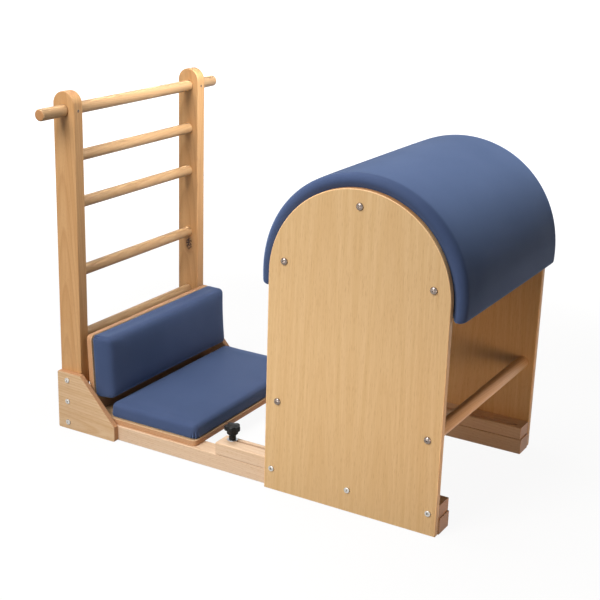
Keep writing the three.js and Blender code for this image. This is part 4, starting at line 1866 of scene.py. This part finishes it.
@dataclass
class ArchPanels:
    """The two arched side panels, veneered, with a strip of edging round each."""

    veneer: Beech
    # finish of the edge strips: a beech paler than the veneer, a painted highlight for their lit rounding
    edging: Beech
    bolts: Bolts
    strip: float = 0.003
    strip_ease: float = 0.0024
    strip_lap: float = 0.00005
    strip_steps: int = 96
    face_ease: float = 0.0003
    arch_bolts: int = 3
    stretcher_bolts: int = 2
    rail_bolts: int = 3
    joint: float = 0.336
    leaf_heart: float = 0.089
    leaf_depth: float = 0.055

    def build(self, shop: Shop) -> None:
        """Makes both panels, their edging and their bolts.

        Args:
            shop: makes the pieces.
        """
        for side in Side:
            node = f"side_panel_{side.label}"
            panel = Box.of(node)
            low, high = panel.low, panel.high
            form = Form().block(low + Vector((self.strip, 0, 0)), high - Vector((self.strip, 0, self.strip)))
            tops = [edge for edge in form.sharp(Axis.Y) if edge.verts[0].co.z > (low.z + high.z) / 2]
            form.round(tops, panel.half(Axis.X) - self.strip - 0.0001, 48)
            form.round(form.sharp(), self.face_ease, 2)
            domed = [f"arch_bolt_{side.label}_{n + 1}" for n in range(self.arch_bolts)]
            domed += [f"stretcher_bolt_{side.label}_{n + 1}" for n in range(self.stretcher_bolts)]
            sockets = [f"rail_bolt_{side.label}_{n + 1}" for n in range(self.rail_bolts)]
            ends = (low.y - OVERRUN, high.y + OVERRUN)
            form.bored([hole_along_y(bolt, BOLT_HOLE, *ends) for bolt in domed + sockets])
            heart = (self.leaf_heart, panel.outer(side) - side.value * self.leaf_depth)
            cut = Cut(Axis.Z, heart, self.joint, 0.31 * side.value)
            material = self.veneer.material(f"beech_veneer_{side.label}", cut)
            shop.piece(f"arch_panel_{side.label}", form, material, CARRIAGE, [node])
            self._edging(shop, side, panel)
            for number, bolt in enumerate(domed, 1):
                self.bolts.dome(shop, f"dome_bolt_{side.label}_{number}", bolt, CARRIAGE, side)
            for number, bolt in enumerate(sockets, 1):
                self.bolts.socket(shop, f"socket_bolt_{side.label}_{number}", bolt, CARRIAGE, side)

    def _edging(self, shop: Shop, side: Side, panel: Box) -> None:
        """Makes the strip round a panel's edge.

        Args:
            shop: makes the piece.
            side: which panel.
            panel: its box.
        """
        low, high = panel.low, panel.high
        x, radius = (low.x + high.x) / 2, panel.half(Axis.X)
        z = high.z - radius
        radii = (radius - self.strip + self.strip_lap, radius)
        form = Form().band((x, z), radii, (low.y, high.y), low.z, self.strip_steps)

        def outside(point: Vector) -> bool:
            """Tells whether a point lies on the strip's outside, where it meets a face of the panel."""
            reach = math.hypot(point.x - x, point.z - z) if point.z > z else abs(point.x - x)
            return min(abs(point.y - low.y), abs(point.y - high.y)) < SAME and abs(reach - radius) < ON_FACE

        form.round([edge for edge in form.edges(outside) if level(edge)], self.strip_ease, 3)
        # The strip's paler beech is a painted highlight along the panel's lit edge.
        material = self.edging.material(f"beech_edging_{side.label}", Cut(Axis.Z, (x, low.y - 0.03)))
        shop.piece(f"edge_strip_{side.label}", form, material, CARRIAGE)


@dataclass
class SlideRails:
    """The slotted rails inside the panels, which slide on the floor rails."""

    wood: Beech
    slot_radius: float = 0.0045
    near_inset: float = 0.029
    far_inset: float = 0.023
    long_ease: float = 0.0033
    end_ease: float = 0.001
    slot_ease: float = 0.0006
    slot_sides: int = 32
    rim_room: float = 0.006
    bolt_count: int = 3

    def build(self, shop: Shop) -> None:
        """Makes both slotted rails.

        Args:
            shop: makes the pieces.
        """
        for side in Side:
            node = f"slotted_rail_{side.label}"
            rail, stud = Box.of(node), Box.of(f"clamp_stud_{side.label}")
            low, high, y = rail.low, rail.high, (stud.low.y + stud.high.y) / 2
            form = Form().block(low, high)
            form.round(form.sharp(Axis.X), self.long_ease).round(form.sharp(), self.end_ease)
            near, far = low.x + self.near_inset, high.x - self.far_inset
            under, over = low.z - OVERRUN, high.z + OVERRUN
            slot = Form().block((near, y - self.slot_radius, under), (far, y + self.slot_radius, over))
            for x in (near, far):
                end = Form().rod(self.slot_radius, (x, y, under), (x, y, over), self.slot_sides)
                slot.combine(end, Joining.ADD)
            form.combine(slot)
            ends = (near - self.rim_room, far + self.rim_room)
            rims = [edge for edge in form.sharp() if all(
                abs(vert.co.y - y) < self.slot_radius + CLOSE and ends[0] < vert.co.x < ends[1]
                and min(abs(vert.co.z - low.z), abs(vert.co.z - high.z)) < ON_FACE for vert in edge.verts)]
            form.round(rims, self.slot_ease, 2)
            face = rail.outer(side)
            ends = (face + side.value * OVERRUN, face - side.value * BOLT_REACH)
            form.bored([hole_along_y(f"rail_bolt_{side.label}_{number + 1}", BOLT_HOLE, *ends)
                        for number in range(self.bolt_count)])
            cut = Cut(Axis.X, (y + 0.05 * side.value, low.z - 0.04), shift=0.9 + 0.4 * side.value)
            material = self.wood.material(f"beech_slide_rail_{side.label}", cut)
            shop.piece(f"slide_rail_{side.label}", form, material, CARRIAGE, [node])


@dataclass
class Drum:
    """The drum: ribs and a bent skin between the panels, padded and covered, and two dowels below."""

    wood: Beech
    board: Plywood
    vinyl: bpy.types.Material
    rib_depth: float = 0.060
    skin_thickness: float = 0.006
    rib_ease: float = 0.0008
    rib_steps: int = 72
    dowel_ease: float = 0.001
    end_round: float = 0.020
    foot_round: float = 0.010
    foot_edge: float = 0.025
    foot_drop: float = 0.002
    tuck: float = 0.002
    tuck_height: float = 0.02
    shrink: float = 0.0008
    bulge: float = 0.0085
    bulge_depths: tuple[float, float] = (0.0335, 0.024)
    bulge_insets: tuple[float, float] = (0.06, 0.01)
    thickness: float = 0.0407
    pitch: float = 0.0095
    steps: int = 104
    cut_below: float = 0.009
    long_edge: float = 0.009
    end_gap: float = 0.0005
    held: tuple[float, float] = (0.003, 0.025)
    fill: float = 0.9
    padding: Padding = field(default_factory=lambda: Padding(most=0.003, calming=30))

    def build(self, shop: Shop) -> None:
        """Makes the ribs, the skin, the pad and the dowels.

        Args:
            shop: makes the pieces.
        """
        for label in ("right", "middle", "left"):
            self._bent(shop, f"rib_{label}", f"drum_rib_{label}", self.rib_depth)
        self._bent(shop, "bent_skin", "drum_skin", self.skin_thickness)
        self._pad(shop)
        for label in ("front", "rear"):
            node = f"stretcher_{label}"
            x, _, z = Box.of(node).middle
            material = self.wood.material(f"beech_dowel_{label}", Cut(Axis.Y, (x + 0.035, z - 0.03), shift=x))
            form = round_rod(Box.of(node), self.dowel_ease)
            shop.piece(f"dowel_{label}", form, material, CARRIAGE, [node], flat=False)

    def _bent(self, shop: Shop, name: str, node: str, depth: float) -> None:
        """Makes a rib or the skin.

        Args:
            shop: makes the piece.
            name: the piece's name.
            node: the CAD node.
            depth: its thickness along the radius.
        """
        low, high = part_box(node)
        radius = (high.x - low.x) / 2
        x, z = (low.x + high.x) / 2, high.z - radius
        form = Form().band((x, z), (radius - depth, radius), (low.y, high.y), low.z, self.rib_steps)
        form.round(form.sharp(), self.rib_ease, 2)
        cut = Cut(Axis.Y, (x - 0.4, z - 0.1)) if node == "drum_skin" else Cut(Axis.X, (low.y - 0.05, z))
        material = self.board.material(f"plywood_{name}", cut, Axis.Y.unit, low.y)
        shop.piece(name, form, material, CARRIAGE, [node])

    def _pad(self, shop: Shop) -> None:
        """Makes the pad over the skin and swells its cover.

        Args:
            shop: makes the pieces.
        """
        low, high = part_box("drum_cover")
        radius = (high.x - low.x) / 2
        x, z = (low.x + high.x) / 2, high.z - radius
        outer, inner, half = radius - self.shrink, radius - self.thickness, high.y - self.end_gap
        foot = low.z - self.foot_drop
        form = Form().band((x, z), (inner, outer), (-half, half), foot, self.steps)

        def reach(point: Vector) -> float:
            """Gives how far a point lies from the arch's centre line."""
            return math.hypot(point.x - x, point.z - z) if point.z > z else abs(point.x - x)

        rims = form.edges(lambda p: abs(reach(p) - outer) < ON_FACE)
        form.round([edge for edge in rims if level(edge)], self.end_round, 7)
        feet = [edge for edge in form.sharp() if all(
            abs(vert.co.z - foot) < ON_FACE and reach(vert.co) > outer - self.foot_edge
            for vert in edge.verts)]
        form.round(feet, self.foot_round, 4)
        span = half - self.end_round
        count = round(2 * span / self.pitch)
        form.slice(Axis.Y, [-span + 2 * span * i / count for i in range(1, count)])
        form.slice(Axis.Z, [z - self.cut_below])
        radial = [edge for edge in form.mesh.edges if level(edge)
                  and abs(reach(edge.verts[0].co) - reach(edge.verts[1].co)) > self.long_edge]
        bmesh.ops.subdivide_edges(form.mesh, edges=radial, cuts=2, use_grid_fill=True)
        thing = form.thing("drum_pad")
        near, far = self.held
        self.padding.swell(thing, lambda p: 1.0 - ramp(reach(p), inner + near, inner + far))
        bulging = [radius - depth for depth in self.bulge_depths]
        rolling = [half - inset for inset in self.bulge_insets]
        for vert in thing.data.vertices:
            out, aside = reach(vert.co), abs(vert.co.y)
            over = self.bulge * ramp(out, *bulging)
            aside = min(aside + over * ramp(aside, *rolling), high.y - GAP + over * 1.2)
            vert.co.y = math.copysign(aside, vert.co.y)
            low_down = 1.0 - ramp(vert.co.z, foot, foot + self.tuck_height)
            vert.co.x += (x - vert.co.x) / out * self.tuck * low_down * ramp(out, inner, outer)
        subdivided(thing)
        thing.data.shade_smooth()
        shop.dress(thing, self.vinyl, CARRIAGE, ["drum_cover", "drum_foam"])


# Clamps


@dataclass
class Clamps:
    """The star knobs that clamp the carriage, each with its washer, stud and insert."""

    plastic: bpy.types.Material
    zinc: bpy.types.Material
    thread: bpy.types.Material
    brass: bpy.types.Material
    lobes: int = 5
    stem_radius: float = 0.010
    stem_height: float = 0.014
    collar_radius: float = 0.0158
    collar_height: float = 0.0125
    head_radius: float = 0.023
    head_ease: float = 0.0035
    head_sides: int = 120
    scallop: float = 0.24
    scallop_power: float = 1.6
    bore_radius: float = 0.0043
    bore_depth: float = 0.022
    stud_ease: float = 0.0008

    def build(self, shop: Shop) -> None:
        """Makes both clamps.

        Args:
            shop: makes the pieces.
        """
        for side in Side:
            body = f"clamp_{side.label}"
            self._knob(shop, side, body)
            node = f"clamp_washer_{side.label}"
            washer = Box.of(node)
            x, y, _ = washer.middle
            radius, tall = washer.half(Axis.X), washer.high.z - washer.low.z
            profile = [(self.bore_radius, 0), (radius - 0.0002, 0), (radius, 0.0003), (radius, tall - 0.0004),
                       (radius - 0.0004, tall), (self.bore_radius, tall)]
            form = Form().turned(profile, (x, y, washer.low.z), Axis.Z.unit, closed=True, steps=48)
            shop.piece(f"washer_{side.label}", form, self.zinc, body, [node], flat=False)
            node = f"clamp_stud_{side.label}"
            stud = Box.of(node)
            form = Form().rod(stud.half(Axis.X), (x, y, stud.low.z), (x, y, stud.high.z), 32)
            form.round(form.sharp(), self.stud_ease, 2)
            shop.piece(f"stud_{side.label}", form, self.thread, body, [node], flat=False)
            shop.refinish(f"clamp_insert_{side.label}", self.brass)

    def _knob(self, shop: Shop, side: Side, body: str) -> None:
        """Makes a knob: a star head on a flared stem.

        Args:
            shop: makes the piece.
            side: which clamp.
            body: what it rides on.
        """
        node = f"clamp_knob_{side.label}"
        low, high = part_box(node)
        x, y, _ = Box.of(f"clamp_stud_{side.label}").middle
        base = low.z + self.stem_height + self.collar_height
        form = Form().rod(self.head_radius, (x, y, base), (x, y, high.z - 0.002), self.head_sides)
        form.round(form.sharp(), self.head_ease, 5)
        for vert in form.mesh.verts:
            turn = math.atan2(vert.co.y - y, vert.co.x - x)
            hollow = (0.5 - 0.5 * math.cos(self.lobes * turn)) ** self.scallop_power
            vert.co.x += (x - vert.co.x) * self.scallop * hollow
            vert.co.y += (y - vert.co.y) * self.scallop * hollow
        stem, rise, collar = self.stem_radius, self.stem_height, self.collar_radius
        shoulder, top = rise + self.collar_height, high.z - low.z
        profile = [
            (0, 0), (stem - 0.0008, 0), (stem, 0.0008), (stem, rise - 0.002), (stem + 0.002, rise),
            (collar, rise + 0.004), (collar, shoulder + 0.004), (collar * 0.9, top - 0.0022),
            (collar * 0.8, top - 0.0012), (collar * 0.4, top - 0.0002), (0, top),
        ]
        form.combine(Form().turned(profile, (x, y, low.z), Axis.Z.unit), Joining.ADD)
        form.bored([(self.bore_radius, (x, y, low.z - OVERRUN), (x, y, low.z + self.bore_depth))])
        shop.piece(f"knob_{side.label}", form, self.plastic, body, [node], flat=False)


# Studio


@dataclass(frozen=True)
class Lamp:
    """A square lamp.

    Attributes:
        name: the lamp's name.
        place: where it hangs.
        target: what it faces.
        size: length of its side.
        power: in watts.
        spread: of its beam, in degrees.
        colour: of its light.
    """

    name: str
    place: Place
    target: Place
    size: float
    power: float
    spread: float = 180.0
    colour: Place = (1.0, 1.0, 1.0)

    def hang(self) -> None:
        """Hangs the lamp in the scene."""
        data = bpy.data.lights.new(self.name, "AREA")
        data.energy, data.size, data.color = self.power, self.size, self.colour
        data.spread = math.radians(self.spread)
        lamp = bpy.data.objects.new(self.name, data)
        lamp.location = self.place
        lamp.rotation_mode = "QUATERNION"
        lamp.rotation_quaternion = (Vector(self.target) - Vector(self.place)).to_track_quat("-Z", "Y")
        bpy.context.scene.collection.objects.link(lamp)


@dataclass
class Studio:
    """A plain pale floor, white surroundings, soft lamps and the camera.

    Attributes:
        camera_place: where the camera stands.
        yaw: its turn from +Y towards +X, in radians.
        pitch: its tilt upwards, in radians.
        roll: its lean to the left, in radians.
        lens: its focal length in millimetres.
        sensor: width of its picture in millimetres.
        floor_size: length of the floor's side.
        floor_depth: thickness of the floor.
        floor_tints: the two greys of the floor.
        floor_glow: how bright the floor looks where it has no shadow.
        floor_share: share of that glow next to the object.
        floor_fade: distances between which the glow grows to the whole.
        ambient: light of the surroundings on the surfaces.
        lamps: the lamps.
    """

    camera_place: Place = (1.659809, -2.912023, 1.531745)
    yaw: float = -0.520
    pitch: float = -0.320
    roll: float = 0.031
    lens: float = 75.21
    sensor: float = 36.0
    floor_size: float = 80.0
    floor_depth: float = 0.02
    floor_tints: tuple[Colour, Colour] = (tint(121, 119, 117), tint(126, 124, 122))
    floor_glow: float = 1.29
    floor_share: float = 0.72
    floor_fade: tuple[float, float] = (1.3, 3.5)
    ambient: Place = (0.06, 0.055, 0.05)
    lamps: Sequence[Lamp] = (
        Lamp("key", (-0.5, -2.8, 2.9), (0.0, 0.0, 0.5), 1.6, 117.0),
        Lamp("top", (-0.8, 0.1, 3.3), (-0.1, 0.0, 0.3), 2.0, 70.0),
        Lamp("side", (1.2, 0.2, 2.3), (-0.6, 0.14, 0.93), 0.5, 3.2, 28.0),
        Lamp("low", (-0.1, -1.6, 0.12), (0.0, -0.3, 0.03), 1.0, 1.7, 70.0),
        Lamp("under", (1.45, -0.42, 0.2), (0.3, 0.14, 0.2), 0.6, 0.82, 42.0, (1.0, 0.66, 0.42)),
    )

    def build(self) -> None:
        """Sets the floor, the world, the lamps and the camera."""
        self._floor()
        self._world()
        for lamp in self.lamps:
            lamp.hang()
        self._camera()
        bpy.context.scene.view_settings.view_transform = "Standard"

    def _floor(self) -> None:
        """Lays the floor, which looks white and keeps a soft shadow."""
        half = self.floor_size / 2
        floor = Form().block((-half, -half, -self.floor_depth), (half, half, -GAP)).thing("studio_floor")
        shader = Shader("pale_floor")
        cloud = shader.noise(shader.point, 3.0)
        shader.done(Base_Color=shader.mix(cloud, *self.floor_tints), Roughness=0.9)
        glow = shader.node("ShaderNodeEmission", sockets={"Color": WHITE, "Strength": self.floor_glow})
        x, y, _ = shader.parts(shader.point)
        far = shader.rise(shader.distance(x, y), *self.floor_fade)
        share = far * (1.0 - self.floor_share) + self.floor_share
        sockets = {0: shader.backdrop() * share, 1: shader.surface.outputs[0], 2: glow.outputs[0]}
        blend = shader.node("ShaderNodeMixShader", sockets=sockets)
        shader.feed(shader.nodes["Material Output"].inputs["Surface"], blend.outputs[0])
        floor.data.materials.append(shader.material)

    def _world(self) -> None:
        """Makes the surroundings white to the camera and dimmer to the surfaces."""
        world = bpy.data.worlds.new("studio")
        bpy.context.scene.world = world
        world.use_nodes = True
        tree = Tree(world.node_tree)
        colour = tree.mix(tree.backdrop(), (*self.ambient, 1.0), WHITE)
        tree.feed(tree.nodes["Background"].inputs["Color"], colour)

    def _camera(self) -> None:
        """Sets the camera in front of the drum's corner, looking down on it."""
        data = bpy.data.cameras.new("camera")
        data.lens, data.sensor_width = self.lens, self.sensor
        camera = bpy.data.objects.new("camera", data)
        bpy.context.scene.collection.objects.link(camera)
        sideways = Vector((math.cos(self.yaw), -math.sin(self.yaw), 0))
        flat = math.cos(self.pitch)
        ahead = Vector((math.sin(self.yaw) * flat, math.cos(self.yaw) * flat, math.sin(self.pitch)))
        upright = sideways.cross(ahead)
        right = math.cos(self.roll) * sideways + math.sin(self.roll) * upright
        up = -math.sin(self.roll) * sideways + math.cos(self.roll) * upright
        turn = Matrix((right, up, -ahead)).transposed().to_4x4()
        camera.matrix_world = Matrix.Translation(Vector(self.camera_place)) @ turn
        bpy.context.scene.camera = camera


def main() -> None:
    """Builds the pieces in order and notes the sizes."""
    logging.basicConfig(level=logging.INFO, format="%(message)s")
    shop = Shop()
    ladder_beech = Beech(tint(212, 168, 118), tint(198, 150, 98), tint(176, 126, 76))
    dowel_beech = Beech(tint(217, 182, 138), tint(203, 163, 116), tint(184, 138, 92), ring=0.005)
    # Darker beech for the bar and the rungs: painted shade against the strong light on the high bar.
    round_beech_painted_shade = Beech(tint(188, 155, 115), tint(175, 139, 98), tint(157, 116, 76), ring=0.005)
    rail_beech = Beech(tint(229, 201, 172), tint(219, 188, 155), tint(204, 164, 127), ring=0.006)
    veneer = Beech(tint(220, 184, 134), tint(212, 173, 121), tint(199, 155, 103), sway=0.006,
                   late_share=0.12, fibre_share=0.4, fleck_share=0.42, dash=42.0, band=190.0)
    # Paler beech for the panels' edge strips: a painted highlight for their lit rounding.
    edging = Beech(tint(250, 212, 160), tint(242, 198, 142), ring=0.004)
    board = Plywood(Beech(tint(224, 192, 153), tint(214, 178, 137), dash=42.0))
    nickel = Metal(tint(146, 134, 126), tint(108, 96, 88), 0.17, 0.06).material("nickel_plate")
    bright = Metal(tint(203, 200, 195), tint(168, 164, 158), 0.3).material("bright_plate")
    zinc = Metal(tint(200, 203, 208), tint(170, 172, 178), 0.34).material("zinc_plate")
    thread = Metal(tint(190, 193, 198), tint(150, 152, 158), 0.36).material("zinc_thread", thread=0.00125)
    brass = Metal(tint(206, 170, 96), tint(166, 132, 74), 0.36).material("turned_brass")
    vinyl = Vinyl().material("blue_vinyl")
    plastic = Moulding().material("black_moulding")
    bolts = Bolts(nickel, bright)
    assemblies = [
        FloorRails(rail_beech),
        Ladder(ladder_beech, round_beech_painted_shade, bolts),
        CornerPlates(board, bolts),
        Seat(board, vinyl),
        Backrest(ladder_beech, board, vinyl),
        ArchPanels(veneer, edging, bolts),
        SlideRails(rail_beech),
        Drum(dowel_beech, board, vinyl),
        Clamps(plastic, zinc, thread, brass),
    ]
    for assembly in assemblies:
        assembly.build(shop)
    Studio().build()


if __name__ == "__main__":
    main()
